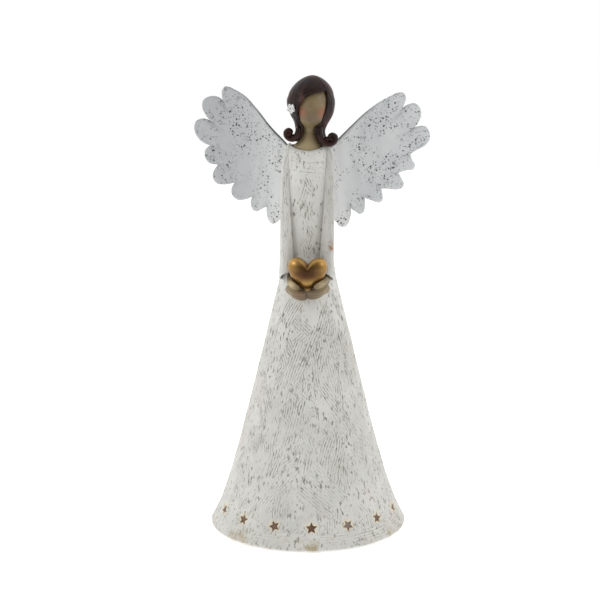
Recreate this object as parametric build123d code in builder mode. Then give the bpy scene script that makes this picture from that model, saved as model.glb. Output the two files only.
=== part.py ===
from build123d import *
from math import asin, atan, cos, exp, radians, sin
import os

# Standing angel figurine of cast resin, lit from inside by a battery light.
# Millimetres. +Z up, the figure faces -Y, origin on the ground under its middle.

# ---- gown: a round flared skirt that turns into an oval bodice ----
ground_gap = 1.0            # hem above the ground, the pads carry the figure
hem_radius = 65.4
hem_flare = 7.0             # how far the hem kicks out beyond the plain cone
flare_height = 22.0         # height over which that kick fades
hem_round = 2.6
waist_height = 162.0        # where the round skirt ends and the oval bodice begins
waist_radius = 19.6
wall = 3.4
hollow_top = 150.0          # above this the casting is solid
bodice_height = 93.0
bodice_sections = [(0.20, 16.6, 14.8), (0.46, 15.3, 12.2), (0.80, 14.8, 11.0), (0.95, 14.0, 9.6)]
shoulder_width, shoulder_depth = 11.6, 7.9      # half sizes of the top of the bodice
neck_pocket = 3.0           # depth of the neckline below the shoulder tops

# ---- stars let through the hem ----
star_count = 15
star_height = 14.8
star_radius = 4.1
star_inner_radius = 1.95
star_first_angle = 6.2
star_recess = 1.0
star_tilt_step = 27.5       # each star is turned this much more than the last one

# ---- base plate, its seat and its screws ----
plate_underside = 2.0
plate_thickness = 3.0
plate_radius = 56.0
seat_clearance = 0.2
seat_width = 3.2            # ledge that the plate lies against
seat_height = 5.0
boss_count = 3
boss_radius = 4.6
boss_ring = 50.5
screw_radius = 1.4
screw_clearance = 0.2
screw_length = 7.2
screw_head_radius = 2.7
screw_head_height = 1.5
cross_length, cross_width, cross_depth = 2.6, 0.7, 0.8
head_clearance = 0.3
pad_count = 4
pad_radius = 5.5
pad_ring = 47.0

# ---- battery light ----
cell_count = 3
cell_radius = 5.25
cell_length = 43.7
nub_radius = 1.9
nub_height = 0.8
cell_gap = 0.5
contact_room = 2.4          # room at each end of a cell for its contact
tray_wall = 1.6
tray_y = 9.0
sheet = 0.4                 # thickness of the contact metal
contact_margin = 1.0        # contacts are this much smaller than the cells, each side
door_thickness = 1.6
door_lip = 2.0              # how far the door laps its opening
door_clearance = 0.3
door_notch = 1.5            # finger notch in its free edge
door_recess = 0.2           # below flush with the base plate
bay_clearance = 0.3         # above the door and under the cells
cell_headroom = 0.4
hinge_pin_radius = 0.7
hinge_pin_length = 2.2
hinge_clearance = 0.05
board_length, board_width, board_thickness = 25.0, 22.0, 1.6
board_corner = 1.5
board_hole_radius, board_hole_inset = 1.1, 2.0
led_count = 3
led_radius = 2.5
led_height = 6.0
led_flange, led_flange_height = 0.45, 1.0
led_ring = 6.5
dome_radius = 17.6
dome_wall = 1.2
dome_side = 8.0
dome_rise = 11.0
wire_door_depth = 6.0       # how far the wires' doorway reaches into the dome

# ---- slide switch ----
switch_y = -38.0
switch_length, switch_width, switch_height = 12.0, 6.4, 4.5
knob_length, knob_width = 4.0, 2.6
knob_reach = 0.7            # below the base plate
knob_travel = 3.0
grip_width, grip_depth, grip_spacing = 0.4, 0.3, 1.2
knob_clearance = 0.2
knob_lift = 1.6             # how far the knob reaches up into the switch
wire_radius = 0.6
wire_spacing = 4.0
wire_bend = 3.6

# ---- arms: long sleeves, cupped hands and the heart they hold ----
# fraction of the sleeve's length down, x, y, half width, half depth
sleeve_sections = [
    (0.00, 12.0, 0.6, 1.6, 3.6),
    (0.08, 13.0, 0.2, 2.7, 5.8),
    (0.34, 14.0, -3.0, 3.2, 7.2),
    (0.60, 13.6, -7.5, 3.8, 8.0),
    (0.80, 13.1, -11.0, 4.3, 7.8),
    (1.00, 12.8, -14.4, 4.9, 7.6),
]
sleeve_length = 87.5
heart_x, heart_y = 1.6, -27.0    # the hands hold the heart a little to the viewer's right
heart_drop = 68.5                # top of the heart below the shoulders
heart_lobe_radius, heart_lobe_x = 6.5, 6.1
# drop below the top of the lobes, half width, half depth
heart_sections = [(6.0, 12.4, 6.2), (12.5, 9.6, 5.2), (21.6, 1.0, 0.8)]
hand_reach, hand_depth, hand_drop = 16.6, 9.6, 12.4  # half sizes of the cupped pair
hand_rim_drop = 84.6        # below the shoulders
hand_middle_drop = 82.0     # middle of the bowl that the hands form, below the shoulders

# ---- head, hair and flower ----
head_x, head_y, head_rise = 1.8, -1.6, 24.8         # rises are above the shoulders
head_half = (9.8, 11.2, 14.2)
neck_radius = 4.1
neck_length = 12.0          # from the neckline to where the neck meets the head
collar_half = (10.0, 6.6)
# share of the neck's length up, share of the head's offset, half width, half depth
neck_sections = [(0.0, 0.0, *collar_half), (0.30, 0.0, 7.2, 5.6), (0.60, 0.5, 4.6, 4.5)]
spigot_radius, spigot_length = 3.5, 9.0
spigot_clearance = 0.1       # also left below the spigot's end
hair_x, hair_y, hair_rise = 2.1, 1.2, 27.4
hair_half = (15.4, 15.2, 17.4)
face_x, face_rise = 4.2, 22.0
face_half = (8.6, 14.6)
face_depth = -4.5           # the hair is open in front of this
lock_half = (3.6, 6.0)
lock_forward = 4.0          # the locks hang this far in front of the hair's middle
lock_drops = (3.0, 11.0)    # levels of a lock's upper sections, below the hair's middle
lock_reach = (11.2, 10.2)   # and how far out they lie
lock_sizes = (1.0, 0.85, 0.75)
curl_radius, curl_length, curl_rounding = 3.7, 7.6, 1.6
curl_places = {-1: (-11.9, 8.2), 1: (15.9, 4.6)}    # side: x, rise
flower_radius = 3.2
petal_count, petal_radius = 5, 1.45
flower_thickness = 1.3
flower_angle, flower_rise = 222.0, -10.0            # direction on the hair, in degrees

# ---- wings: flat slabs with a row of rounded feathers ----
wing_thickness = 3.6
wing_sweep = 14.0
wing_plane_y = 13.2
# distance out from the middle, height above the shoulders
wing_pivot = (15.3, -1.7)
right_wing_drop = 4.5       # the right wing hangs this many degrees lower
leading_edges = {-1: [(4, -14), (15.3, -1.7), (26.9, 9.4), (36.9, 21), (45, 29), (54.9, 34.1)],
                 1: [(4, -14), (15.3, -1.7), (26.9, 11.2), (35.2, 20), (44, 27.4), (55.7, 34.4)]}
# each feather from notch to notch; side -1 is the viewer's left
feathers = {
    -1: [[(54.9, 34.1), (58.5, 34.3), (60.4, 31.6), (60.3, 27.1), (59.7, 23)],
         [(59.7, 23), (62.8, 27), (68.6, 27.6), (74, 24.3), (74.3, 19.5), (71.7, 14.7), (68.4, 10.6)],
         [(68.4, 10.6), (74.1, 12.6), (79.2, 10.4), (80.3, 5.2), (77.7, -0.4), (73.5, -3.7), (69.2, -5)],
         [(69.2, -5), (72.6, -8.3), (72.9, -12.9), (70, -16.8), (63.9, -17.9)],
         [(63.9, -17.9), (67, -22.4), (67.6, -26.5), (64.9, -30.4), (59.8, -31), (52.2, -29.5)],
         [(52.2, -29.5), (54.4, -33.6), (54.1, -37.4), (50.1, -40.7), (45.2, -40.4), (39.6, -38.1)],
         [(39.6, -38.1), (40.8, -42.3), (39.9, -46.3), (37.4, -48), (33.8, -46.4), (29.3, -44.2)],
         [(29.3, -44.2), (29.4, -48.8), (28.4, -53.4), (25.6, -55.7), (22.4, -54.2), (19.3, -50.9)]],
    1: [[(55.7, 34.4), (59.7, 34.6), (61.6, 32), (60.7, 26.6), (59.2, 21.9)],
        [(59.2, 21.9), (63.4, 27), (68.7, 28), (72.2, 24.6), (72.9, 19.4), (71, 14.7), (67.9, 11.1)],
        [(67.9, 11.1), (71.5, 13), (76.1, 13.5), (79.7, 9.5), (79.9, 4.4), (76.8, 0.2), (72.4, -2.3), (68, -5.4)],
        [(68, -5.4), (69.6, -9.4), (71.9, -12.8), (71.2, -15.4), (66.6, -16.4), (61.2, -18.4)],
        [(61.2, -18.4), (63.8, -22.3), (65.6, -25.6), (64.2, -28.4), (60.2, -29.6), (55.5, -29.3), (50.5, -29.5)],
        [(50.5, -29.5), (51.8, -33.8), (52.1, -37), (50.1, -38.7), (45.2, -37.8), (39.8, -36.1)],
        [(39.8, -36.1), (40.4, -41.3), (39.8, -45.7), (37.8, -47.1), (34.2, -45.4), (29.9, -43)],
        [(29.9, -43), (31.1, -46.9), (30.7, -52.1), (28.7, -55.9), (25.8, -56.3), (22.7, -54.2), (19.9, -50.6)]],
}
wing_root_low = (4.0, -45.0)
root_pad = (9.0, 30.0, 8.0)     # block between wing and back: along, up, forward
root_pad_drop = 25.0        # below the shoulders
root_gap = 2.0              # from the middle of the back to each pad
peg_radius, peg_length = 2.0, 10.0
peg_start_y = 13.0          # the pegs run forward from here
peg_clearance = 0.1
peg_drops = (33.0, 17.0)    # below the shoulders

os.makedirs("parts", exist_ok=True)


def save(builder, name):
    builder.part.label = name
    export_step(builder.part, f"parts/{name}.step")


def ellipsoid(centre, half):
    """A sphere stretched to three half sizes about a centre."""
    ball = Sphere(10, mode=Mode.PRIVATE)
    return Pos(*centre) * scale(ball, by=tuple(h / 10 for h in half), mode=Mode.PRIVATE)


def skirt_radius(z):
    """A plain cone from waist to hem, plus a kick at the hem that fades with height."""
    along = (waist_height - z) / (waist_height - ground_gap)
    fade = exp(-(z - ground_gap) / flare_height)
    cone = waist_radius + (hem_radius - hem_flare - waist_radius) * along
    return cone + hem_flare * fade


def skirt_outline(inset, low, high, steps=9):
    """Points up the skirt's wall, moved in by an inset."""
    heights = [low + (high - low) * i / steps for i in range(steps + 1)]
    return [(skirt_radius(z) - inset, z) for z in heights]


# ================= gown =================
shoulder_z = waist_height + bodice_height
heart_top = shoulder_z - heart_drop
hand_rim = shoulder_z - hand_rim_drop
hand_middle = shoulder_z - hand_middle_drop
head_z, hair_z, face_z = [shoulder_z + rise for rise in (head_rise, hair_rise, face_rise)]
neckline_z = shoulder_z - neck_pocket
plate_top = plate_underside + plate_thickness
rebate_radius = plate_radius + seat_clearance
ledge_top = plate_top + seat_height

with BuildPart() as gown_outer:
    with BuildSketch(Plane.XZ):
        with BuildLine():
            wall_line = Spline(*skirt_outline(0, ground_gap, waist_height))
            Polyline(wall_line @ 1, (0, waist_height), (0, ground_gap), wall_line @ 0)
        make_face()
    revolve(axis=Axis.Z)
    fillet(gown_outer.edges().group_by(Axis.Z)[0], hem_round)
    with BuildSketch(Plane.XY.offset(waist_height)):
        Circle(skirt_radius(waist_height))
    for share, half_width, half_depth in bodice_sections:
        with BuildSketch(Plane.XY.offset(waist_height + share * bodice_height)):
            Ellipse(half_width, half_depth)
    with BuildSketch(Plane.XY.offset(shoulder_z)):
        Ellipse(shoulder_width, shoulder_depth)
    loft()

with BuildPart() as gown:
    add(gown_outer.part)
    # the hollow of the skirt, above the ledge
    with BuildSketch(Plane.XZ):
        with BuildLine():
            inner_line = Spline(*skirt_outline(wall, ledge_top, hollow_top))
            Polyline(inner_line @ 1, (0, hollow_top), (0, ledge_top), inner_line @ 0)
        make_face()
    revolve(axis=Axis.Z, mode=Mode.SUBTRACT)
    # the rebate for the base plate and the opening inside its ledge
    with BuildSketch(Plane.XY):
        Circle(rebate_radius)
    extrude(amount=plate_top, mode=Mode.SUBTRACT)
    with BuildSketch(Plane.XY.offset(plate_top)):
        Circle(rebate_radius - seat_width)
    extrude(amount=seat_height, mode=Mode.SUBTRACT)
    # bosses for the screws
    with BuildSketch(Plane.XY.offset(plate_top)):
        with PolarLocations(boss_ring, boss_count, start_angle=90):
            Circle(boss_radius)
            Circle(screw_radius, mode=Mode.SUBTRACT)
    extrude(amount=seat_height)
    # neckline pocket and the bore for the neck's spigot
    with BuildSketch(Plane.XY.offset(neckline_z)):
        Ellipse(*collar_half)
    extrude(amount=neck_pocket, mode=Mode.SUBTRACT)
    with BuildSketch(Plane.XY.offset(neckline_z)):
        Circle(spigot_radius + spigot_clearance)
    extrude(amount=-spigot_length, mode=Mode.SUBTRACT)


# ================= stars =================
star_wall_radius = skirt_radius(star_height)
wall_lean = atan(skirt_radius(star_height - 0.5) - skirt_radius(star_height + 0.5))


def star_plane(index):
    """Plane on the skirt's wall behind one star, facing outwards."""
    turn = radians(star_first_angle - 90 + index * 360 / star_count)
    outward = Vector(cos(turn) * cos(wall_lean), sin(turn) * cos(wall_lean), sin(wall_lean))
    across = Vector(-sin(turn), cos(turn), 0)
    place = (star_wall_radius * cos(turn), star_wall_radius * sin(turn), star_height)
    return Plane(origin=place, x_dir=across, z_dir=outward)


def star_outline(index):
    """Ten corners of a five-pointed star, turned by its own tilt."""
    tilt = index * star_tilt_step + 90
    radii = (star_radius, star_inner_radius)
    corners = [(radii[k % 2], radians(tilt + 36 * k)) for k in range(10)]
    return [(r * cos(a), r * sin(a)) for r, a in corners]


with BuildPart() as star_windows:
    for index in range(star_count):
        with BuildSketch(star_plane(index).offset(-star_recess)):
            Polygon(*star_outline(index), align=None)
        extrude(amount=-(wall - star_recess))
save(star_windows, "star_windows")

with BuildPart() as star_cutters:
    for index in range(star_count):
        with BuildSketch(star_plane(index)):
            Polygon(*star_outline(index), align=None)
        extrude(amount=wall, both=True)

# ================= wings =================


def wing_frame(side, drop):
    """Plane of one wing: x outwards and back, y up, turned down about its pivot."""
    sweep, drop = radians(wing_sweep), radians(drop)
    facing = (sin(sweep), -side * cos(sweep), 0)
    level = Plane(origin=(0, wing_plane_y, shoulder_z), x_dir=(side * cos(sweep), sin(sweep), 0), z_dir=facing)
    hanging = (side * cos(sweep) * cos(drop), sin(sweep) * cos(drop), -sin(drop))
    turned = Plane(origin=(0, 0, 0), x_dir=hanging, z_dir=facing)
    pivot = Vector(*wing_pivot)
    place = level.from_local_coords(pivot) - turned.from_local_coords(pivot)
    return Plane(origin=place, x_dir=hanging, z_dir=facing)


def peg_places(side):
    return [(side * (root_pad[0] / 2 + root_gap), shoulder_z - drop) for drop in peg_drops]


def make_wing(side, drop):
    """Feathered slab, a pad that meets the curved back, and two pegs."""
    with BuildPart() as wing:
        with BuildSketch(wing_frame(side, drop)):
            with BuildLine():
                Spline(*leading_edges[side])
                for feather in feathers[side]:
                    Spline(*feather)
                Polyline(feathers[side][-1][-1], wing_root_low, leading_edges[side][0])
            make_face()
        extrude(amount=wing_thickness / 2, both=True)
        along, up, forward = root_pad
        with BuildSketch(Plane.XZ.offset(-wing_plane_y)):
            with Locations((side * (along / 2 + root_gap), shoulder_z - root_pad_drop)):
                SlotOverall(up, along, rotation=90)
        extrude(amount=forward)
        add(gown_outer.part, mode=Mode.SUBTRACT)
        with BuildSketch(Plane.XZ.offset(-peg_start_y)):
            with Locations(*peg_places(side)):
                Circle(peg_radius)
        extrude(amount=peg_length)
    return wing


wing_left = make_wing(-1, 0)
save(wing_left, "wing_left")
wing_right = make_wing(1, right_wing_drop)
save(wing_right, "wing_right")

with BuildPart() as peg_bores:
    for side in (-1, 1):
        with BuildSketch(Plane.XZ.offset(-peg_start_y)):
            with Locations(*peg_places(side)):
                Circle(peg_radius + peg_clearance)
        extrude(amount=peg_length + peg_clearance)

with BuildPart() as finished_gown:
    add(gown.part)
    add(star_cutters.part, mode=Mode.SUBTRACT)
    add(peg_bores.part, mode=Mode.SUBTRACT)
save(finished_gown, "gown")

# ================= heart, sleeves and hands =================
with BuildPart() as heart:
    with Locations(*[(heart_x + side * heart_lobe_x, heart_y, heart_top - heart_lobe_radius) for side in (-1, 1)]):
        Sphere(heart_lobe_radius)
    for drop, half_width, half_depth in heart_sections:
        with BuildSketch(Plane.XY.offset(heart_top - drop)):
            with Locations((heart_x, heart_y)):
                Ellipse(half_width, half_depth)
    loft()
save(heart, "heart")


def make_sleeve(side):
    """Hanging sleeve lofted through level ovals, trimmed where it lies on the gown."""
    with BuildPart() as sleeve:
        for share, x, y, half_width, half_depth in sleeve_sections:
            with BuildSketch(Plane.XY.offset(shoulder_z - share * sleeve_length)):
                with Locations((side * x, y)):
                    Ellipse(half_width, half_depth)
        loft()
        add(gown_outer.part, mode=Mode.SUBTRACT)
    return sleeve


def make_hand(side, sleeve):
    """Half of a cupped bowl, trimmed to the heart, the gown and the cuff."""
    size = 2 * hand_reach
    with BuildPart() as hand:
        add(ellipsoid((heart_x, heart_y, hand_middle), (hand_reach, hand_depth, hand_drop)))
        with Locations((heart_x + side * size / 2, heart_y, hand_rim - size / 2)):
            Box(size, size, size, mode=Mode.INTERSECT)
        add(heart.part, mode=Mode.SUBTRACT)
        add(gown_outer.part, mode=Mode.SUBTRACT)
        add(sleeve.part, mode=Mode.SUBTRACT)
    return hand


sleeves = {side: make_sleeve(side) for side in (-1, 1)}
hands = {side: make_hand(side, sleeves[side]) for side in (-1, 1)}
for side, word in ((-1, "left"), (1, "right")):
    save(sleeves[side], f"sleeve_{word}")
    save(hands[side], f"hand_{word}")

# ================= head, hair and flower =================
neck_top = neckline_z + neck_length
with BuildPart() as head:
    add(ellipsoid((head_x, head_y, head_z), head_half))
    for share, lean, half_width, half_depth in neck_sections:
        with BuildSketch(Plane.XY.offset(neckline_z + share * neck_length)):
            with Locations((lean * head_x, 0)):
                Ellipse(half_width, half_depth)
    with BuildSketch(Plane.XY.offset(head_z - head_half[2] / 2)):
        with Locations((head_x, 0)):
            Circle(neck_radius)
    loft()
    with BuildSketch(Plane.XY.offset(neckline_z)):
        Circle(spigot_radius)
    extrude(amount=-spigot_length + spigot_clearance)
save(head, "head")

with BuildPart() as hair:
    add(ellipsoid((hair_x, hair_y, hair_z), hair_half))
    for side, (curl_x, curl_rise) in curl_places.items():
        curl_z = shoulder_z + curl_rise
        lock_ends = [(hair_z - lock_drops[0], hair_x + side * lock_reach[0], lock_sizes[0]),
                     (hair_z - lock_drops[1], hair_x + side * lock_reach[1], lock_sizes[1]),
                     (curl_z, curl_x - side * curl_radius / 2, lock_sizes[2])]
        for z, x, size in lock_ends:
            with BuildSketch(Plane.XY.offset(z)):
                with Locations((x, hair_y - lock_forward)):
                    Ellipse(lock_half[0] * size, lock_half[1] * size)
        loft()
        with BuildPart(Plane.XZ, mode=Mode.PRIVATE) as curl:
            Cylinder(curl_radius, curl_length)
            fillet(curl.edges().filter_by(GeomType.CIRCLE), curl_rounding)
        add(Pos(curl_x, hair_y - lock_forward, curl_z) * curl.part)
    with BuildSketch(Plane.XZ.offset(-face_depth)):
        with Locations((face_x, face_z)):
            Ellipse(*face_half)
    extrude(amount=2 * hair_half[1], mode=Mode.SUBTRACT)
    add(head.part, mode=Mode.SUBTRACT)
    add(gown_outer.part, mode=Mode.SUBTRACT)
save(hair, "hair")

turn, rise = radians(flower_angle), radians(flower_rise)
flower_out = Vector(cos(turn) * cos(rise), sin(turn) * cos(rise), sin(rise))
flower_at = Vector(hair_x + hair_half[0] * flower_out.X, hair_y + hair_half[1] * flower_out.Y,
                   hair_z + hair_half[2] * flower_out.Z)
with BuildPart() as hair_flower:
    with BuildSketch(Plane(origin=flower_at, x_dir=(0, 0, 1), z_dir=flower_out)):
        with PolarLocations(flower_radius - petal_radius, petal_count):
            Circle(petal_radius)
        Circle(petal_radius)
    extrude(amount=flower_thickness / 2, both=True)
    add(hair.part, mode=Mode.SUBTRACT)
save(hair_flower, "hair_flower")

# ================= battery light =================
bay_length = cell_length + nub_height + 2 * contact_room
bay_width = cell_count * 2 * cell_radius + (cell_count + 1) * cell_gap
door_length = bay_length + 2 * door_lip
door_width = bay_width + 2 * door_lip
door_low = plate_underside + door_recess
door_top = door_low + door_thickness
bay_floor = door_top + bay_clearance
cell_z = bay_floor + bay_clearance + cell_radius
bay_top = cell_z + cell_radius + cell_headroom
tray_top = bay_top + tray_wall
hinge_y = tray_y + door_width / 2 - door_thickness / 2
hinge_z = door_low + door_thickness / 2
board_top = tray_top + board_thickness
wire_z = tray_top + board_thickness / 2
knob_x = -knob_travel / 2

with BuildPart() as base_plate:
    with BuildSketch(Plane.XY.offset(plate_underside)):
        Circle(plate_radius)
        with PolarLocations(boss_ring, boss_count, start_angle=90):
            Circle(screw_radius + screw_clearance, mode=Mode.SUBTRACT)
        with Locations((0, tray_y)):
            Rectangle(bay_length, bay_width, mode=Mode.SUBTRACT)
        with Locations((0, switch_y)):
            Rectangle(knob_length + knob_travel + 2 * knob_clearance,
                      knob_width + 2 * knob_clearance, mode=Mode.SUBTRACT)
    extrude(amount=plate_thickness)
    with BuildSketch(Plane.XY.offset(plate_underside)):
        with PolarLocations(boss_ring, boss_count, start_angle=90):
            Circle(screw_head_radius + head_clearance)
    extrude(amount=screw_head_height + head_clearance, mode=Mode.SUBTRACT)
    with BuildSketch(Plane.XY.offset(plate_underside)):
        with Locations((0, tray_y)):
            Rectangle(door_length + 2 * door_clearance, door_width + 2 * door_clearance)
    extrude(amount=bay_floor - plate_underside, mode=Mode.SUBTRACT)
    with BuildSketch(Plane.YZ):
        with Locations((hinge_y, hinge_z)):
            Circle(hinge_pin_radius + hinge_clearance)
    extrude(amount=door_length / 2 + hinge_pin_length + hinge_clearance, both=True,
            mode=Mode.SUBTRACT)
save(base_plate, "base_plate")

with BuildPart() as battery_door:
    with BuildSketch(Plane.XY.offset(door_low)):
        with Locations((0, tray_y - door_thickness / 4)):
            Rectangle(door_length, door_width - door_thickness / 2)
        with Locations((0, tray_y - door_width / 2)):
            Rectangle(door_length / 4, 2 * door_notch, mode=Mode.SUBTRACT)
    extrude(amount=door_thickness)
    with BuildSketch(Plane.YZ):
        with Locations((hinge_y, hinge_z)):
            Circle(door_thickness / 2)
    extrude(amount=door_length / 2, both=True)
    with BuildSketch(Plane.YZ):
        with Locations((hinge_y, hinge_z)):
            Circle(hinge_pin_radius)
    extrude(amount=door_length / 2 + hinge_pin_length, both=True)
save(battery_door, "battery_door")

with BuildPart() as battery_tray:
    with BuildSketch(Plane.XY.offset(plate_top)):
        with Locations((0, tray_y)):
            Rectangle(bay_length + 2 * tray_wall, bay_width + 2 * tray_wall)
    extrude(amount=tray_top - plate_top)
    fillet(battery_tray.edges().filter_by(Axis.Z), tray_wall)
    with BuildSketch(Plane.XY.offset(plate_top)):
        with Locations((0, tray_y)):
            Rectangle(bay_length, bay_width)
    extrude(amount=bay_top - plate_top, mode=Mode.SUBTRACT)
save(battery_tray, "battery_tray")


def cell_y(index):
    return tray_y + (index - (cell_count - 1) / 2) * (2 * cell_radius + cell_gap)


def cell_way(index):
    """The cells point opposite ways in turn: +1 has its nub towards +X."""
    return 1 if index % 2 == 0 else -1


with BuildPart() as batteries:
    for index in range(cell_count):
        way = cell_way(index)
        with BuildSketch(Plane.YZ.offset(-way * nub_height / 2 - cell_length / 2)):
            with Locations((cell_y(index), cell_z)):
                Circle(cell_radius)
        extrude(amount=cell_length)
        with BuildSketch(Plane.YZ.offset(way * (cell_length - nub_height) / 2)):
            with Locations((cell_y(index), cell_z)):
                Circle(nub_radius)
        extrude(amount=way * nub_height)
save(batteries, "batteries")

contact_half = cell_radius - contact_margin
with BuildPart() as contact_plates:
    for index in range(cell_count):
        way = cell_way(index)
        with BuildSketch(Plane.YZ.offset(way * bay_length / 2)):
            with Locations((cell_y(index), cell_z)):
                Rectangle(2 * contact_half, 2 * contact_half)
        extrude(amount=-way * sheet)
        with BuildSketch(Plane.YZ.offset(way * (bay_length / 2 - sheet))):
            with Locations((cell_y(index), cell_z)):
                Circle(nub_radius)
        extrude(amount=-way * (contact_room - sheet))
save(contact_plates, "contact_plates")

with BuildPart() as contact_springs:
    for index in range(cell_count):
        way = -cell_way(index)
        wall_x = way * bay_length / 2
        crest_x = way * (bay_length / 2 - contact_room + sheet / 2)
        with BuildSketch(Plane.XZ.offset(-cell_y(index))):
            with BuildLine():
                ThreePointArc((wall_x - way * sheet / 2, cell_z - contact_half),
                              (crest_x, cell_z),
                              (wall_x - way * sheet / 2, cell_z + contact_half))
            trace(line_width=sheet)
        extrude(amount=contact_half / 2, both=True)
        with BuildSketch(Plane.YZ.offset(wall_x)):
            with Locations((cell_y(index), cell_z)):
                Rectangle(2 * contact_half, 2 * contact_half)
        extrude(amount=-way * sheet)
save(contact_springs, "contact_springs")

with BuildPart() as circuit_board:
    with BuildSketch(Plane.XY.offset(tray_top)):
        with Locations((0, tray_y)):
            RectangleRounded(board_length, board_width, board_corner)
            with PolarLocations(board_width / 2 - board_hole_inset, 2, start_angle=90):
                Circle(board_hole_radius, mode=Mode.SUBTRACT)
    extrude(amount=board_thickness)
save(circuit_board, "circuit_board")

with BuildPart() as leds:
    with Locations((0, tray_y, board_top)):
        with PolarLocations(led_ring, led_count, start_angle=30):
            Cylinder(led_radius + led_flange, led_flange_height, align=(Align.CENTER, Align.CENTER, Align.MIN))
            Cylinder(led_radius, led_height, align=(Align.CENTER, Align.CENTER, Align.MIN))
    with Locations((0, tray_y, board_top + led_height)):
        with PolarLocations(led_ring, led_count, start_angle=30):
            Sphere(led_radius)
save(leds, "leds")


dome_plane = Plane(origin=(0, tray_y, tray_top), x_dir=(1, 0, 0), z_dir=(0, -1, 0))
with BuildPart() as diffuser_dome:
    for inset, mode in ((0, Mode.ADD), (dome_wall, Mode.SUBTRACT)):
        radius, rise = dome_radius - inset, dome_rise - inset
        ball = (radius ** 2 + rise ** 2) / (2 * rise)
        half_turn = asin(radius / ball) / 2
        middle = (ball * sin(half_turn), dome_side + rise - ball * (1 - cos(half_turn)))
        with BuildSketch(dome_plane):
            with BuildLine():
                ThreePointArc((radius, dome_side), middle, (0, dome_side + rise))
                Polyline((0, dome_side + rise), (0, 0), (radius, 0), (radius, dome_side))
            make_face()
        revolve(axis=Axis((0, tray_y, 0), (0, 0, 1)), mode=mode)
    # doorway in the front of the wall for the wires
    with BuildSketch(Plane.XY.offset(tray_top)):
        with Locations((0, tray_y - dome_radius)):
            Rectangle(wire_spacing + 4 * wire_radius, 2 * wire_door_depth)
    extrude(amount=board_thickness / 2 + 2 * wire_radius, mode=Mode.SUBTRACT)
save(diffuser_dome, "diffuser_dome")

# ================= slide switch and its wires =================
knob_top = plate_top + knob_lift
with BuildPart() as switch_body:
    with BuildSketch(Plane.XY.offset(plate_top)):
        with Locations((0, switch_y)):
            Rectangle(switch_length, switch_width)
    extrude(amount=switch_height)
    with BuildSketch(Plane.XY.offset(plate_top)):
        with Locations((0, switch_y)):
            Rectangle(knob_length + knob_travel + 2 * knob_clearance,
                      knob_width + 2 * knob_clearance)
    extrude(amount=knob_lift + knob_clearance, mode=Mode.SUBTRACT)
save(switch_body, "switch_body")

with BuildPart() as switch_knob:
    with BuildSketch(Plane.XY.offset(plate_underside - knob_reach)):
        with Locations((knob_x, switch_y)):
            Rectangle(knob_length, knob_width)
    extrude(amount=knob_top - plate_underside + knob_reach)
    with BuildSketch(Plane.XY.offset(plate_underside - knob_reach)):
        with Locations((knob_x, switch_y)):
            with GridLocations(grip_spacing, 0, 3, 1):
                Rectangle(grip_width, knob_width)
    extrude(amount=grip_depth, mode=Mode.SUBTRACT)
save(switch_knob, "switch_knob")

switch_top = plate_top + switch_height
with BuildPart() as switch_wires:
    for x in (-wire_spacing / 2, wire_spacing / 2):
        with BuildLine() as route:
            FilletPolyline((x, switch_y, switch_top), (x, switch_y, wire_z),
                           (x, tray_y - board_width / 2, wire_z), radius=wire_bend)
        with BuildSketch(Plane.XY.offset(switch_top)):
            with Locations((x, switch_y)):
                Circle(wire_radius)
        sweep(path=route.line)
save(switch_wires, "switch_wires")

# ================= screws and pads =================
with BuildPart() as housing_screws:
    head_low = plate_underside + head_clearance
    with BuildSketch(Plane.XY.offset(head_low)):
        with PolarLocations(boss_ring, boss_count, start_angle=90):
            Circle(screw_head_radius)
    extrude(amount=screw_head_height)
    with BuildSketch(Plane.XY.offset(head_low + screw_head_height)):
        with PolarLocations(boss_ring, boss_count, start_angle=90):
            Circle(screw_radius)
    extrude(amount=screw_length - screw_head_height)
    with BuildSketch(Plane.XY.offset(head_low)):
        with PolarLocations(boss_ring, boss_count, start_angle=90):
            Rectangle(cross_length, cross_width)
            Rectangle(cross_width, cross_length)
    extrude(amount=cross_depth, mode=Mode.SUBTRACT)
save(housing_screws, "housing_screws")

with BuildPart() as foot_pads:
    with BuildSketch(Plane.XY):
        with PolarLocations(pad_ring, pad_count, start_angle=45):
            Circle(pad_radius)
    extrude(amount=plate_underside)
save(foot_pads, "foot_pads")
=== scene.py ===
import math
import bpy
import numpy as np
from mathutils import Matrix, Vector


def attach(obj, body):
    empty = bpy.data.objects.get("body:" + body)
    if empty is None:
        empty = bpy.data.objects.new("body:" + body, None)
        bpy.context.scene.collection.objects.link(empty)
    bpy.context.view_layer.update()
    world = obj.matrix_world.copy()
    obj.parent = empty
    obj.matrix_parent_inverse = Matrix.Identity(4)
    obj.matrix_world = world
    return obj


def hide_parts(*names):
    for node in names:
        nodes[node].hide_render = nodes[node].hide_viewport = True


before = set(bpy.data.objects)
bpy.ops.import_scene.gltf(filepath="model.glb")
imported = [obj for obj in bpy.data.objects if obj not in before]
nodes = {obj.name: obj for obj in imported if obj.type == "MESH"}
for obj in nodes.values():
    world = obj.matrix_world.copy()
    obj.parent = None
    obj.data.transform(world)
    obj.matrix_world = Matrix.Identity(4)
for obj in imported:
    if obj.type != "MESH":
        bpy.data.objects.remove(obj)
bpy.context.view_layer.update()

print("frame loaded:", len(nodes), "nodes")

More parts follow.
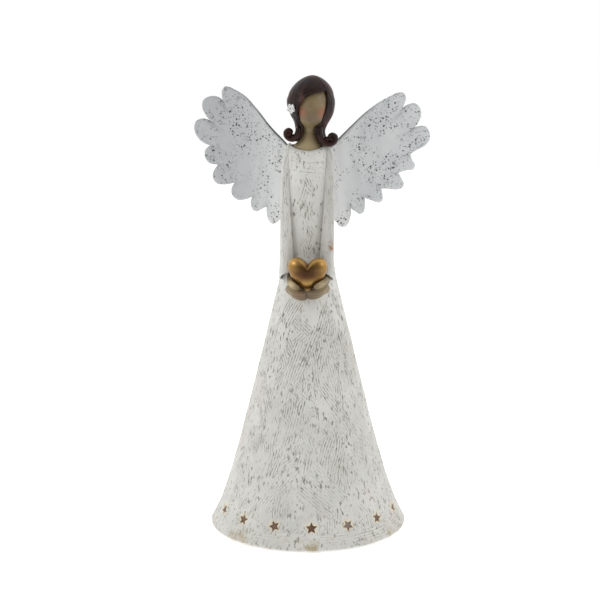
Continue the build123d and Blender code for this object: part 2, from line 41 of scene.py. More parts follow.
# camera, sky and lamps
view = {
    "place": (0.0879, -1.2569, 0.434),
    "aim": (0.0, 0.0, 0.150),
    "lens": 117.8,
    "shiftX": -0.0133,
    "shiftY": 0.0058,
}
cameraData = bpy.data.cameras.new("camera")
camera = bpy.data.objects.new("camera", cameraData)
bpy.context.scene.collection.objects.link(camera)
camera.location = view["place"]
camera.rotation_mode = "QUATERNION"
camera.rotation_quaternion = (Vector(view["aim"]) - Vector(view["place"])).to_track_quat("-Z", "Y")
cameraData.lens = view["lens"]
cameraData.sensor_width = 36
cameraData.shift_x, cameraData.shift_y = view["shiftX"], view["shiftY"]
cameraData.clip_start, cameraData.clip_end = 0.05, 60
bpy.context.scene.camera = camera

studio = {
    "front": 0.17,      # strength of the sky on the viewer's side
    "back": 1.0,
    "lamps": [  # place, size, watts
        ((-0.92, -0.66, 0.78), 0.55, 2.9),
        ((0.95, -0.60, 0.62), 0.50, 1.6),
    ],
}
bpy.context.scene.view_settings.view_transform = "Standard"
world = bpy.data.worlds.new("studio")
bpy.context.scene.world = world
world.use_nodes = True
sky = world.node_tree
direction = sky.nodes.new("ShaderNodeSeparateXYZ")
sky.links.new(sky.nodes.new("ShaderNodeTexCoord").outputs["Generated"], direction.inputs["Vector"])
falling = sky.nodes.new("ShaderNodeMapRange")
falling.interpolation_type = "SMOOTHSTEP"
for label, number in (("From Min", -0.95), ("From Max", 0.05), ("To Min", studio["front"]), ("To Max", studio["back"])):
    falling.inputs[label].default_value = number
sky.links.new(direction.outputs["Y"], falling.inputs["Value"])
sky.links.new(falling.outputs["Result"], sky.nodes["Background"].inputs["Strength"])
sky.nodes["Background"].inputs["Color"].default_value = (1.0, 1.0, 1.0, 1.0)
for number, (place, size, watts) in enumerate(studio["lamps"]):
    lampData = bpy.data.lights.new(f"softbox{number}", "AREA")
    lampData.size, lampData.energy = size, watts
    lamp = bpy.data.objects.new(f"softbox{number}", lampData)
    bpy.context.scene.collection.objects.link(lamp)
    lamp.location = place
    lamp.rotation_mode = "QUATERNION"
    lamp.rotation_quaternion = (Vector((0, 0, 0.15)) - Vector(place)).to_track_quat("-Z", "Y")
print("camera and lights placed")


# short ways to write material nodes
def newMaterial(name, roughness=0.5, metallic=0.0, specular=0.5, coat=0.0, coatRoughness=0.15):
    # a material whose fixed numbers sit on the shader's own sockets
    material = bpy.data.materials.new(name)
    material.use_nodes = True
    shader = material.node_tree.nodes["Principled BSDF"]
    shader.inputs["Roughness"].default_value = roughness
    shader.inputs["Metallic"].default_value = metallic
    shader.inputs["Specular IOR Level"].default_value = specular
    shader.inputs["Coat Weight"].default_value = coat
    shader.inputs["Coat Roughness"].default_value = coatRoughness
    return material, material.node_tree, shader


def setInput(tree, socket, value):
    # a socket takes either a link from another node or a plain value
    if isinstance(value, bpy.types.NodeSocket):
        tree.links.new(value, socket)
    elif isinstance(value, (tuple, list)) and len(value) == 3 and socket.type == "RGBA":
        socket.default_value = (*value, 1.0)
    else:
        socket.default_value = value


def places(tree, stretch=(1, 1, 1)):
    coordinates = tree.nodes.new("ShaderNodeTexCoord").outputs["Object"]
    if stretch == (1, 1, 1):
        return coordinates
    mapping = tree.nodes.new("ShaderNodeMapping")
    mapping.inputs["Scale"].default_value = stretch
    tree.links.new(coordinates, mapping.inputs["Vector"])
    return mapping.outputs["Vector"]


def noise(tree, scale, detail=3.0, rough=0.5, where=None, warp=0.0):
    node = tree.nodes.new("ShaderNodeTexNoise")
    node.inputs["Scale"].default_value = scale
    node.inputs["Detail"].default_value = detail
    node.inputs["Roughness"].default_value = rough
    node.inputs["Distortion"].default_value = warp
    tree.links.new(where or places(tree), node.inputs["Vector"])
    return node.outputs["Fac"]


def spots(tree, scale, where=None, spread=1.0):
    # distance to the nearest of many scattered points
    node = tree.nodes.new("ShaderNodeTexVoronoi")
    node.inputs["Scale"].default_value = scale
    node.inputs["Randomness"].default_value = spread
    tree.links.new(where or places(tree), node.inputs["Vector"])
    return node.outputs["Distance"]


def ramp(tree, value, low, high, start=0.0, end=1.0):
    # value carried smoothly from start to end while it goes from low to high
    node = tree.nodes.new("ShaderNodeMapRange")
    node.interpolation_type = "SMOOTHSTEP"
    for label, number in (("From Min", low), ("From Max", high), ("To Min", start), ("To Max", end)):
        node.inputs[label].default_value = number
    setInput(tree, node.inputs["Value"], value)
    return node.outputs["Result"]


def sums(tree, kind, first, second=0.5):
    node = tree.nodes.new("ShaderNodeMath")
    node.operation = kind
    setInput(tree, node.inputs[0], first)
    setInput(tree, node.inputs[1], second)
    return node.outputs["Value"]


def times(tree, first, second):
    return sums(tree, "MULTIPLY", first, second)


def blend(tree, share, first, second):
    node = tree.nodes.new("ShaderNodeMix")
    node.data_type = "RGBA"
    setInput(tree, node.inputs["Factor"], share)
    setInput(tree, node.inputs["A"] if node.inputs["A"].type == "RGBA" else node.inputs[6], first)
    setInput(tree, node.inputs["B"] if node.inputs["B"].type == "RGBA" else node.inputs[7], second)
    return node.outputs[2]


def attribute(tree, name):
    node = tree.nodes.new("ShaderNodeAttribute")
    node.attribute_name = name
    return node.outputs["Fac"]


def axisOf(tree, letter):
    node = tree.nodes.new("ShaderNodeSeparateXYZ")
    tree.links.new(places(tree), node.inputs["Vector"])
    return node.outputs[letter]


def nearness(tree, point, reach):
    # 1 at a point in metres, falling to 0 at a distance of reach
    node = tree.nodes.new("ShaderNodeVectorMath")
    node.operation = "DISTANCE"
    tree.links.new(places(tree), node.inputs[0])
    node.inputs[1].default_value = point
    return ramp(tree, node.outputs["Value"], 0.0, reach, 1.0, 0.0)


def bump(tree, shader, height, strength, distance):
    # a later bump is laid over an earlier one
    node = tree.nodes.new("ShaderNodeBump")
    node.inputs["Strength"].default_value = strength
    node.inputs["Distance"].default_value = distance
    tree.links.new(height, node.inputs["Height"])
    earlier = shader.inputs["Normal"].links
    if earlier:
        tree.links.new(earlier[0].from_socket, node.inputs["Normal"])
    tree.links.new(node.outputs["Normal"], shader.inputs["Normal"])


# short ways to make surfaces
def smoothStep(low, high, value):
    share = np.clip((value - low) / (high - low), 0, 1)
    return share * share * (3 - 2 * share)


def curveThrough(at, where, values):
    # piecewise cubic through the given values, with slopes from the neighbours on each side
    where, values = np.asarray(where, float), np.asarray(values, float)
    slopes = np.gradient(values, where)
    at = np.clip(at, where[0], where[-1])
    left = np.clip(np.searchsorted(where, at, side="right") - 1, 0, len(where) - 2)
    gap = where[left + 1] - where[left]
    t = (at - where[left]) / gap
    return ((2 * t**3 - 3 * t**2 + 1) * values[left] + (t**3 - 2 * t**2 + t) * gap * slopes[left]
            + (3 * t**2 - 2 * t**3) * values[left + 1] + (t**3 - t**2) * gap * slopes[left + 1])


def gridQuads(rows, columns, around=True, flip=False):
    # corner numbers of the quads of a grid numbered row by row
    numbers = np.arange(rows * columns).reshape(rows, columns)
    after = np.roll(numbers, -1, axis=1) if around else numbers[:, 1:]
    first = numbers if around else numbers[:, :-1]
    corners = [first[:-1], after[:-1], after[1:], first[1:]]
    return np.stack(corners[::-1] if flip else corners, axis=-1).reshape(-1, 4)


def block(points, flip=False, around=True, **values):
    # one grid of points, shape rows x columns x 3, with its quads and its values per point
    rows, columns = points.shape[:2]
    return {
        "points": points.reshape(-1, 3),
        "quads": gridQuads(rows, columns, around, flip),
        "values": {name: np.broadcast_to(v, (rows, columns)).reshape(-1) for name, v in values.items()},
    }


def joined(blocks):
    # several blocks as one, with points closer than a thousandth of a millimetre made the same
    names = sorted(set().union(*[b["values"] for b in blocks]))
    starts = np.cumsum([0] + [len(b["points"]) for b in blocks])
    points = np.concatenate([b["points"] for b in blocks])
    quads = np.concatenate([b["quads"] + s for b, s in zip(blocks, starts)])
    values = {n: np.concatenate([b["values"].get(n, np.zeros(len(b["points"]))) for b in blocks]) for n in names}
    kept, number = np.unique(np.round(points, 3), axis=0, return_index=True, return_inverse=True)[1:]
    return {"points": points[kept], "quads": number.reshape(-1)[quads],
            "values": {n: v[kept] for n, v in values.items()}}


def makePiece(name, parts, material, replaced=(), weld=True):
    # puts blocks, in millimetres, into one mesh in metres; a quad whose side has no length becomes a triangle
    whole = joined(parts) if weld else parts[0]
    quads = whole["quads"]
    same = quads == np.roll(quads, -1, axis=1)
    doubled = same.sum(axis=1)
    full = quads[doubled == 0]
    pinched, which = quads[doubled == 1], same[doubled == 1].argmax(axis=1)
    triangles = pinched[~np.eye(4, dtype=bool)[which]].reshape(-1, 3)
    mesh = bpy.data.meshes.new(name)
    corners = np.concatenate([full.ravel(), triangles.ravel()]).astype(np.int32)
    starts = np.concatenate([np.arange(len(full)) * 4, 4 * len(full) + np.arange(len(triangles)) * 3]).astype(np.int32)
    mesh.vertices.add(len(whole["points"]))
    mesh.vertices.foreach_set("co", (whole["points"] / 1000).astype(np.float32).ravel())
    mesh.loops.add(len(corners))
    mesh.loops.foreach_set("vertex_index", corners)
    mesh.polygons.add(len(starts))
    mesh.polygons.foreach_set("loop_start", starts)
    mesh.update(calc_edges=True)
    mesh.validate()
    mesh.shade_smooth()
    mesh.set_sharp_from_angle(angle=math.radians(52))
    for label, numbers in whole["values"].items():
        mesh.attributes.new(label, "FLOAT", "POINT").data.foreach_set("value", numbers.astype(np.float32))
    piece = bpy.data.objects.new(name, mesh)
    bpy.context.scene.collection.objects.link(piece)
    mesh.materials.append(material)
    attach(piece, "root")
    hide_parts(*replaced)
    print(name, "made:", len(starts), "faces")
    return piece


def ringPoints(radiusX, radiusY, height, theta, centreX=0.0, centreY=0.0):
    # level ovals stacked up: x = cx + a cos(theta), y = cy + b sin(theta)
    radiusX, radiusY, height, centreX, centreY = [
        np.broadcast_to(np.asarray(v, float).reshape(-1, 1) if np.ndim(v) == 1 else v, (len(height), len(theta)))
        for v in (radiusX, radiusY, height, centreX, centreY)]
    return np.stack([centreX + radiusX * np.cos(theta), centreY + radiusY * np.sin(theta), height], axis=-1)


# combed resin of gown and sleeves
def paintStrokes(theta, z, radius, strokes, pitch):
    # strokes of a toothed comb on an unrolled wall: across a stroke, groove = (half + half cos(2 pi v / pitch)) to
    # a power, faded at its ragged ends and broken along its length; a later stroke wipes out what it crosses
    groove = np.zeros((len(z), len(theta)))
    for turn, level, tilt, length, width, bend, strength in strokes:
        reach = 0.5 * math.hypot(length, width) + 1.5
        inside = np.nonzero(np.abs(z - level) < reach)[0]
        if len(inside) == 0:
            continue
        apart = (theta - turn + math.pi) % (2 * math.pi) - math.pi
        near = np.nonzero(np.abs(apart) * radius[inside].min() < reach)[0]
        dx = radius[inside][:, None] * apart[near]
        dz = (z[inside] - level)[:, None]
        u = dx * math.cos(tilt) + dz * math.sin(tilt)
        v = dz * math.cos(tilt) - dx * math.sin(tilt) + bend * u * u
        tooth = np.round(v / pitch)
        ragged = 0.5 * length + 2.2 * np.sin(tooth * 2.4 + level) * np.sin(tooth * 5.1 + 1.0)
        mask = smoothStep(ragged, ragged - 2.0, np.abs(u)) * smoothStep(0.5 * width, 0.5 * width - 0.7, np.abs(v))
        comb = (0.5 + 0.5 * np.cos(2 * math.pi * v / pitch + 0.5 * np.sin(0.35 * u + tooth))) ** 2.4
        broken = 0.76 + 0.24 * np.sin(0.95 * u + 2.1 * tooth + level) * np.sin(0.41 * u + 1.3 * tooth)
        window = np.ix_(inside, near)
        groove[window] = groove[window] * (1 - mask) + mask * comb * broken * strength
    return groove


def sample(field, theta, z, at, level):
    # value of a field on a regular grid at any turn and level, blended between its four nearest cells
    column = ((at - theta[0]) / (theta[1] - theta[0])) % len(theta)
    row = np.clip((level - z[0]) / (z[1] - z[0]), 0, len(z) - 1.001)
    c, r = np.floor(column).astype(int), np.floor(row).astype(int)
    s, t = column - c, row - r
    c, d = c % len(theta), (c + 1) % len(theta)
    return (field[r, c] * (1 - s) + field[r, d] * s) * (1 - t) + (field[r + 1, c] * (1 - s) + field[r + 1, d] * s) * t


gown = {
    "gap": 1.0, "hemRadius": 65.4, "flare": 7.0, "flareHeight": 22.0, "hemRound": 1.0,
    "waistHeight": 162.0, "waistRadius": 19.6, "shoulders": 255.0, "wall": 3.4, "hollowTop": 150.0,
    "ledgeTop": 10.0, "ledgeLow": 5.0, "ledgeRadius": 53.0, "rebateRadius": 56.2,
    "columns": 720, "depth": 0.66, "pitch": 1.66, "seed": 11,
    "strokes": 900, "levels": [8.0, 26.0], "neckDip": 2.6,
    # name, lowest and highest level, and step between rows
    "bands": [("gownSkirtLow", 26.0, 72.0, 0.46), ("gownSkirtMiddle", 72.0, 118.0, 0.46),
              ("gownSkirtHigh", 118.0, 162.0, 0.42)],
    "boss": {"circle": 50.5, "bore": 1.4, "outer": 4.6, "columns": 28},
    # half width, half depth and level of the rings from the rim of the neckline down into its pocket
    "neckline": ((10.7, 7.1, 254.8), (10.3, 6.8, 254.2), (10.1, 6.7, 252), (0, 0, 249)),
    "bodice": [(162, 19.6, 19.6), (166, 18.8, 18.5), (180.6, 16.6, 14.8), (204.8, 15.3, 12.2), (236.4, 14.8, 11.0),
               (248, 14.2, 10.1), (252.4, 13.2, 9.2), (254.4, 12.0, 8.3), (255, 11.2, 7.6)],
}
star = {
    "count": 15, "height": 14.8, "radius": 4.02, "inner": 1.90, "firstTurn": 6.2, "tiltStep": 27.5,
    "rings": 16, "rows": 34,
}


def skirtRadius(z):
    # plain cone from waist to hem, plus a kick at the hem that fades with height
    along = (gown["waistHeight"] - z) / (gown["waistHeight"] - gown["gap"])
    fade = np.exp(-(z - gown["gap"]) / gown["flareHeight"])
    return (gown["waistRadius"] + (gown["hemRadius"] - gown["flare"] - gown["waistRadius"]) * along
            + gown["flare"] * fade)


def skirtStrokes():
    # turn, level, tilt, length, width, bend, strength of each stroke, in the order in which they are laid
    random = np.random.default_rng(gown["seed"])
    count = gown["strokes"]
    share = random.random(count)
    level = gown["waistHeight"] - 158 * np.sqrt(share)      # more strokes where the skirt is wider
    turn = random.random(count) * 2 * math.pi
    lean = np.where(random.random(count) < 0.22, random.choice([-1, 1], count) * random.uniform(25, 55, count),
                    random.normal(0, 13, count))
    length = random.uniform(12, 34, count)
    width = random.uniform(5, 12, count)
    strength = random.choice([1.0, 0.85, 0.65, 0.15], count, p=[0.48, 0.27, 0.18, 0.07])
    rows = np.stack([turn, level, np.radians(90 + lean), length, width, random.normal(0, 0.010, count), strength], 1)
    front = math.radians(-90)
    placed = [  # offset from the front, level, lean, length, width, strength
        (-34, 146, -24, 34, 10, 1.0), (-20, 150, -26, 28, 8, 0.9), (6, 152, -4, 18, 9, 0.1), (24, 138, -22, 30, 9, 1.0),
        (0, 122, -24, 34, 8, 1.0), (-14, 118, -16, 28, 8, 0.9), (30, 118, 8, 30, 8, 0.8), (-40, 120, -8, 40, 9, 0.5),
        (-8, 98, 52, 15, 6, 0.9), (10, 92, -62, 12, 6, 0.7), (36, 86, 30, 44, 10, 1.0), (44, 66, 26, 36, 9, 0.9),
        (-30, 84, -10, 36, 10, 0.6), (-12, 70, -14, 30, 8, 0.9), (6, 62, 20, 28, 8, 0.8), (2, 46, -12, 26, 7, 1.0),
        (20, 38, 44, 34, 12, 0.9), (9, 32, 50, 30, 10, 1.0), (-22, 36, -36, 30, 9, 0.8), (-40, 44, -12, 34, 9, 0.5),
        (38, 30, -50, 30, 10, 0.6), (52, 40, 20, 30, 9, 0.5),
    ]
    own = [(front + math.radians(o), h, math.radians(90 + lean), length, width, 0.0, s)
           for o, h, lean, length, width, s in placed]
    # level strokes round the hem
    rings = [(front + math.radians(k * 26 + 9 * math.sin(5 * k)), 7.4 + 0.9 * math.sin(3 * k),
              math.radians(1.6 * math.sin(7 * k)), 38 + 8 * math.sin(2 * k), 7.5, 0.0,
              0.85 - 0.25 * math.cos(k)) for k in range(14)]
    return [*rows, *own, *rings]


fieldTheta = np.radians(-100 + 0.25 * np.arange(1440))
fieldZ = np.arange(0.5, 163.0, 0.3)
skirtGroove = paintStrokes(fieldTheta, fieldZ, skirtRadius(fieldZ), skirtStrokes(), gown["pitch"])
print("skirt strokes laid")


def skirtPoint(at, level, calm=1.0, base=None):
    # a point of the skirt's wall at a turn and a level: its radius, plus lumps, less the groove; calm 0 leaves both out
    groove = sample(skirtGroove, fieldTheta, fieldZ, at, level) * calm
    lumps = 0.16 * np.sin(5 * at + 0.06 * level) * np.sin(0.11 * level + 2 * at) + 0.07 * np.sin(17 * at - 0.3 * level)
    base = skirtRadius(level) if base is None else base
    radius = base + calm * (lumps + gown["depth"] * (0.3 - groove))
    return np.stack([radius * np.cos(at), radius * np.sin(at), level + 0 * at], axis=-1), groove


def plainRing(at, radius, level):
    return np.stack([radius * np.cos(at), radius * np.sin(at), level + 0 * at], axis=-1)


def wallRows(at, low, high, step):
    count = max(2, round((high - low) / step) + 1)
    turn, level = np.meshgrid(at, np.linspace(low, high, count))
    return skirtPoint(turn, level)


def innerRows(at, high, low, count):
    turn, level = np.meshgrid(at, np.linspace(high, low, count))
    return plainRing(turn, skirtRadius(level) - gown["wall"], level)


columnTurn = np.radians(star["firstTurn"] - 102 + 360 / gown["columns"] * np.arange(gown["columns"]))


def gownSection(low, high, step):
    # a length of skirt as a closed ring: down the inside, across, up the outside and back across the top
    outer, groove = wallRows(columnTurn, low, high, step)
    if high > gown["hollowTop"]:
        inner = innerRows(columnTurn, gown["hollowTop"], low, 7)
        start, end = plainRing(columnTurn, 0, gown["hollowTop"]), plainRing(columnTurn, 0, high)
    else:
        inner = innerRows(columnTurn, high, low, 7)
        start = end = None
    rows = [inner, outer] if start is None else [start[None], inner, outer, end[None]]
    values = [np.zeros(inner.shape[:2]), groove] if start is None else \
        [np.zeros((1, len(columnTurn))), np.zeros(inner.shape[:2]), groove, np.zeros((1, len(columnTurn)))]
    if start is None:
        rows.append(inner[:1])
        values.append(np.zeros((1, len(columnTurn))))
    return block(np.concatenate(rows), groove=np.concatenate(values))


def starOutline(index, angle, radius, inner):
    # distance from the star's middle to its edge in a direction: the straight line between two neighbouring corners
    turned = (angle - math.radians(index * star["tiltStep"] + 90)) % (2 * math.pi)
    side = np.floor(turned / math.radians(36) + 1e-9)
    within = turned - side * math.radians(36)
    first, second = np.where(side % 2 == 0, radius, inner), np.where(side % 2 == 0, inner, radius)
    corner = math.radians(36)
    return first * second * math.sin(corner) / (first * np.sin(within) + second * np.sin(corner - within))


def starCell(index):
    # the wall round one star: outside, rings of points from the star's edge to the cell's four sides, then the
    # star's own wall inwards, then the same rings on the inside of the casting
    columns, (low, high) = gown["columns"] // star["count"], gown["levels"][:2]
    rows = star["rows"]
    middle = math.radians(star["firstTurn"] - 90 + index * 360 / star["count"])
    half = math.radians(180 / star["count"])
    across, up = np.linspace(-half, half, columns + 1), np.linspace(low, high, rows + 1)
    border = np.concatenate([
        np.stack([across[:-1], np.full(columns, low)], 1), np.stack([np.full(rows, half), up[:-1]], 1),
        np.stack([across[:0:-1], np.full(columns, high)], 1), np.stack([np.full(rows, -half), up[:0:-1]], 1)])
    radius = skirtRadius(star["height"])
    lean = math.atan(skirtRadius(star["height"] - 0.5) - skirtRadius(star["height"] + 0.5))
    angle = np.arctan2((border[:, 1] - star["height"]) / math.cos(lean), border[:, 0] * radius)
    corners = np.radians(index * star["tiltStep"] + 90 + 36 * np.arange(10))
    apart = np.abs((angle[None, :] - corners[:, None] + math.pi) % (2 * math.pi) - math.pi)
    angle[apart.argmin(axis=1)] = corners

    def edge(grow, drop=0.0):
        reach = starOutline(index, angle, star["radius"] + grow, star["inner"] + 0.6 * grow)
        return np.stack([reach * np.cos(angle) / radius,
                         star["height"] - drop + reach * np.sin(angle) * math.cos(lean)], 1)

    share = np.linspace(0, 1, star["rings"])[:, None, None]
    flat = (1 - share) * edge(0.28) + share * border
    near = share[..., 0] + 0 * flat[..., 0]
    wall, groove = skirtPoint(middle + flat[..., 0], flat[..., 1], calm=np.clip(near * 6, 0, 1))
    outline = edge(0.0)
    deep = [plainRing(middle + outline[:, 0], skirtRadius(outline[:, 1]) - depth * math.cos(lean),
                      outline[:, 1] - depth * math.sin(lean)) for depth in (0.14, 0.4, 1.45)]
    back = edge(0.28, drop=0.6)
    deep.append(plainRing(middle + back[:, 0], skirtRadius(back[:, 1]) - gown["wall"], back[:, 1]))
    hole = np.concatenate([wall[:1], np.stack(deep)])
    within = border.copy()
    within[:, 1] = gown["ledgeTop"] + (border[:, 1] - low) * (high - gown["ledgeTop"]) / (high - low)
    share = np.linspace(0, 1, 4)[:, None, None]
    flat = (1 - share) * back + share * within
    inside = plainRing(middle + flat[..., 0], skirtRadius(flat[..., 1]) - gown["wall"], flat[..., 1])
    return [block(wall, flip=True, groove=groove, rim=np.exp(-((near * 8) ** 2))),
            block(hole, rim=np.array([1.0, 1.0, 0.7, 0.2, 0.0])[:, None]), block(inside)]


def hemRows():
    # the foot of the skirt: ledge and rebate for the base plate, a flat ring, a rounded edge, and the wall up to
    # the stars
    contact = gown["gap"] + gown["hemRound"] * 1.47
    lean = math.atan(skirtRadius(contact - 0.5) - skirtRadius(contact + 0.5))
    contact = gown["gap"] + gown["hemRound"] * (1 + math.sin(lean))
    centreR = skirtRadius(contact) - gown["hemRound"] * math.cos(lean)
    arc = np.linspace(-math.pi / 2, lean, 12)
    inner = skirtRadius(gown["ledgeTop"]) - gown["wall"]
    seat = [(inner, gown["ledgeTop"]), (gown["ledgeRadius"], gown["ledgeTop"]), (gown["ledgeRadius"], gown["ledgeLow"]),
            (gown["rebateRadius"], gown["ledgeLow"]), (gown["rebateRadius"], gown["gap"] + 0.3),
            (gown["rebateRadius"] + 0.3, gown["gap"])]
    radius = np.array([p[0] for p in seat] + list(centreR + gown["hemRound"] * np.cos(arc)))
    level = np.array([p[1] for p in seat] + list(gown["gap"] + gown["hemRound"] * (1 + np.sin(arc))))
    calm = smoothStep(gown["gap"] + 0.4, contact, level) * (np.arange(len(level)) > 5)
    at, level = np.meshgrid(columnTurn, level)
    foot, footGroove = skirtPoint(at, level, calm=calm[:, None], base=radius[:, None])
    wall, groove = wallRows(columnTurn, contact, gown["levels"][0], 0.5)
    top, topGroove = skirtPoint(columnTurn[None], np.full((1, len(columnTurn)), gown["levels"][1]))
    innerTop = innerRows(columnTurn, gown["levels"][1], gown["levels"][1] - 1, 2)[:1]
    return [block(np.concatenate([foot, wall[1:]]), groove=np.concatenate([footGroove, groove[1:]])),
            block(np.concatenate([top, innerTop]), groove=np.concatenate([topGroove, 0 * topGroove]))]


def bossTube(turn):
    # a short thick tube that holds one screw: down its bore and up its outside
    boss = gown["boss"]
    at = np.linspace(0, 2 * math.pi, boss["columns"], endpoint=False)
    profile = [(boss["bore"], gown["ledgeTop"]), (boss["bore"], gown["ledgeLow"]), (boss["outer"], gown["ledgeLow"]),
               (boss["outer"], gown["ledgeTop"]), (boss["bore"], gown["ledgeTop"])]
    centre = boss["circle"] * np.array([math.cos(turn), math.sin(turn)])
    return block(np.stack([plainRing(at, r, z) for r, z in profile]) + np.array([*centre, 0]))


def bodicePoint(at, level):
    # an oval with lumps and grooves, which takes over from the skirt's round wall in its first two millimetres
    sizes = np.array(gown["bodice"], float)
    a, b = curveThrough(level, sizes[:, 0], sizes[:, 1]), curveThrough(level, sizes[:, 0], sizes[:, 2])
    groove = sample(bodiceGroove, bodiceTheta, bodiceZ, at, level) * smoothStep(255, 252.5, level)
    push = 0.10 * np.sin(4 * at + 0.1 * level) + gown["depth"] * 0.9 * (0.3 - groove) * smoothStep(255, 253, level)
    join = smoothStep(gown["waistHeight"], gown["waistHeight"] + 2, level)
    first = skirtPoint(at, np.full_like(at, gown["waistHeight"]))[0]
    own = np.stack([(a + push) * np.cos(at), (b + push) * np.sin(at), level + 0 * at], axis=-1)
    own[..., :2] = own[..., :2] * join[..., None] + first[..., :2] * (1 - join[..., None]) \
        * (a / gown["waistRadius"])[..., None]
    return own, groove


def bodiceStrokes():
    random = np.random.default_rng(gown["seed"] + 1)
    count = 90
    front = math.radians(-90)
    turn = front + math.pi + random.uniform(-2.2, 2.2, count)       # the back and the sides
    rows = np.stack([turn, random.uniform(164, 250, count), np.radians(90 + random.normal(0, 22, count)),
                     random.uniform(10, 26, count), random.uniform(4, 9, count), random.normal(0, 0.004, count),
                     random.choice([1.0, 0.7, 0.3], count)], 1)
    placed = [  # offset from the front, level, lean, length, width, strength
        (-30, 240, 2, 40, 16, 0.10), (30, 220, 0, 60, 16, 0.12), (-30, 205, 0, 50, 14, 0.10),
        (0, 200, 0, 60, 8, 0.15), (-14, 246.5, 88, 13, 3.4, 0.8), (10, 246, 92, 13, 3.4, 0.9),
        (-8, 242.8, 86, 16, 3.4, 0.8), (16, 242, 91, 14, 3.2, 0.7), (4, 232, 24, 16, 6.4, 1.0),
        (-6, 224, -16, 16, 5.6, 0.9), (6, 214, 20, 16, 5.2, 1.0), (-2, 206, 4, 14, 5.0, 0.9),
        (5, 197, -14, 13, 4.6, 0.9), (0, 188, 12, 12, 4.6, 0.8), (24, 236, 14, 14, 4.5, 0.5),
        (-26, 230, -8, 12, 4, 0.4), (-38, 178, -20, 18, 7, 0.8), (36, 176, 18, 18, 7, 0.7),
        (2, 239, 84, 22, 3.4, 0.9), (-12, 236, 90, 12, 3.2, 0.7), (12, 226, 38, 11, 4.0, 0.9),
        (10, 216, -30, 10, 4.0, 0.8), (-8, 210, 34, 10, 4.0, 0.8), (8, 202, 30, 10, 4.2, 0.9),
        (-6, 194, -34, 10, 4.0, 0.8), (12, 188, -26, 10, 4.0, 0.8), (24, 212, -6, 22, 3.0, 0.35),
        (-28, 214, 5, 26, 3.0, 0.3),
    ]
    own = [(front + math.radians(o), h, math.radians(90 + lean), length, width, 0.0, s)
           for o, h, lean, length, width, s in placed]
    return [*rows, *own]


bodiceTheta = np.radians(-100 + 0.5 * np.arange(720))
bodiceZ = np.arange(160.0, 256.5, 0.3)
bodiceSizes = np.array(gown["bodice"], float)
bodiceRadius = np.sqrt(curveThrough(bodiceZ, bodiceSizes[:, 0], bodiceSizes[:, 1])
                       * curveThrough(bodiceZ, bodiceSizes[:, 0], bodiceSizes[:, 2]))
bodiceGroove = paintStrokes(bodiceTheta, bodiceZ, bodiceRadius, bodiceStrokes(), gown["pitch"])


def bodiceBlock():
    # ovals from the waist to the neckline, with a shallow pocket at the top for the collar
    turn = np.radians(-100 + 0.75 * np.arange(480))
    at, level = np.meshgrid(turn, np.linspace(gown["waistHeight"], gown["shoulders"], 180))
    wall, groove = bodicePoint(at, level)
    dip = gown["neckDip"] * np.clip(-np.sin(turn), 0, 1) ** 2
    wall[..., 2] -= dip * smoothStep(gown["shoulders"] - 17, gown["shoulders"], level)
    rim = [ringPoints(a, b, np.full(1, z), turn) for a, b, z in gown["neckline"]]
    for ring in rim[:3]:
        ring[..., 2] -= dip
    bottom = plainRing(turn, 0, gown["waistHeight"])[None]
    grooves = np.concatenate([groove[:1] * 0, groove, np.zeros((len(rim), len(turn)))])
    return block(np.concatenate([bottom, wall, *rim]), groove=grooves)


# off-white paint with painted shade, grey-brown, in the grooves
def gownMaterial():
    material, tree, shader = newMaterial("combedResin", roughness=0.72, specular=0.32)
    groove = attribute(tree, "groove")
    scumble = ramp(tree, noise(tree, 720, 3, 0.6), 0.36, 0.62)
    cloud = noise(tree, 34, 4, 0.55)
    wide = noise(tree, 95, 3, 0.6)
    colour = blend(tree, ramp(tree, cloud, 0.35, 0.68), (0.655, 0.650, 0.610), (0.735, 0.730, 0.690))
    colour = blend(tree, ramp(tree, noise(tree, 21, 3, 0.6), 0.56, 0.74, 0.0, 0.45), colour, (0.70, 0.605, 0.575))
    worked = sums(tree, "ADD", times(tree, scumble, 0.60), 0.34)
    # painted shade: grey-brown in the grooves, broken up by the scumble and by broad patches
    grooveShade = times(tree, ramp(tree, groove, 0.25, 0.78), worked)
    grooveShade = times(tree, grooveShade, ramp(tree, wide, 0.30, 0.62, 0.55, 1.0))
    colour = blend(tree, times(tree, grooveShade, 0.97), colour, (0.150, 0.137, 0.115))
    # short dark flecks that follow the combing, gathered in patches
    stretched = places(tree, (1, 1, 0.32))
    gathered = ramp(tree, noise(tree, 75, 3, 0.6), 0.36, 0.60, 0.25, 1.0)
    flecks = times(tree, ramp(tree, noise(tree, 640, 2, 0.5, stretched), 0.565, 0.675), gathered)
    colour = blend(tree, times(tree, flecks, 0.85), colour, (0.20, 0.185, 0.155))
    # pin holes in the coat, gathered in patches
    holes = times(tree, ramp(tree, spots(tree, 560), 0.10, 0.22, 1.0, 0.0), ramp(tree, noise(tree, 120, 2), 0.55, 0.66))
    colour = blend(tree, times(tree, holes, 0.55), colour, (0.20, 0.18, 0.15))
    # worn tan resin on the hem and round the stars
    low = ramp(tree, axisOf(tree, "Z"), 0.003, 0.0115, 1.0, 0.0)
    hemWearAndEdgeShade = times(tree, low, ramp(tree, noise(tree, 60, 5, 0.7), 0.50, 0.66))
    colour = blend(tree, times(tree, hemWearAndEdgeShade, 0.75), colour, (0.44, 0.35, 0.20))
    colour = blend(tree, times(tree, attribute(tree, "rim"), 0.75), colour, (0.80, 0.70, 0.50))
    tree.links.new(colour, shader.inputs["Base Color"])
    bump(tree, shader, noise(tree, 1500, 4, 0.6), 0.35, 0.00012)
    bump(tree, shader, noise(tree, 520, 3, 0.6, stretched), 0.55, 0.00045)
    bump(tree, shader, holes, -0.5, 0.0003)
    return material


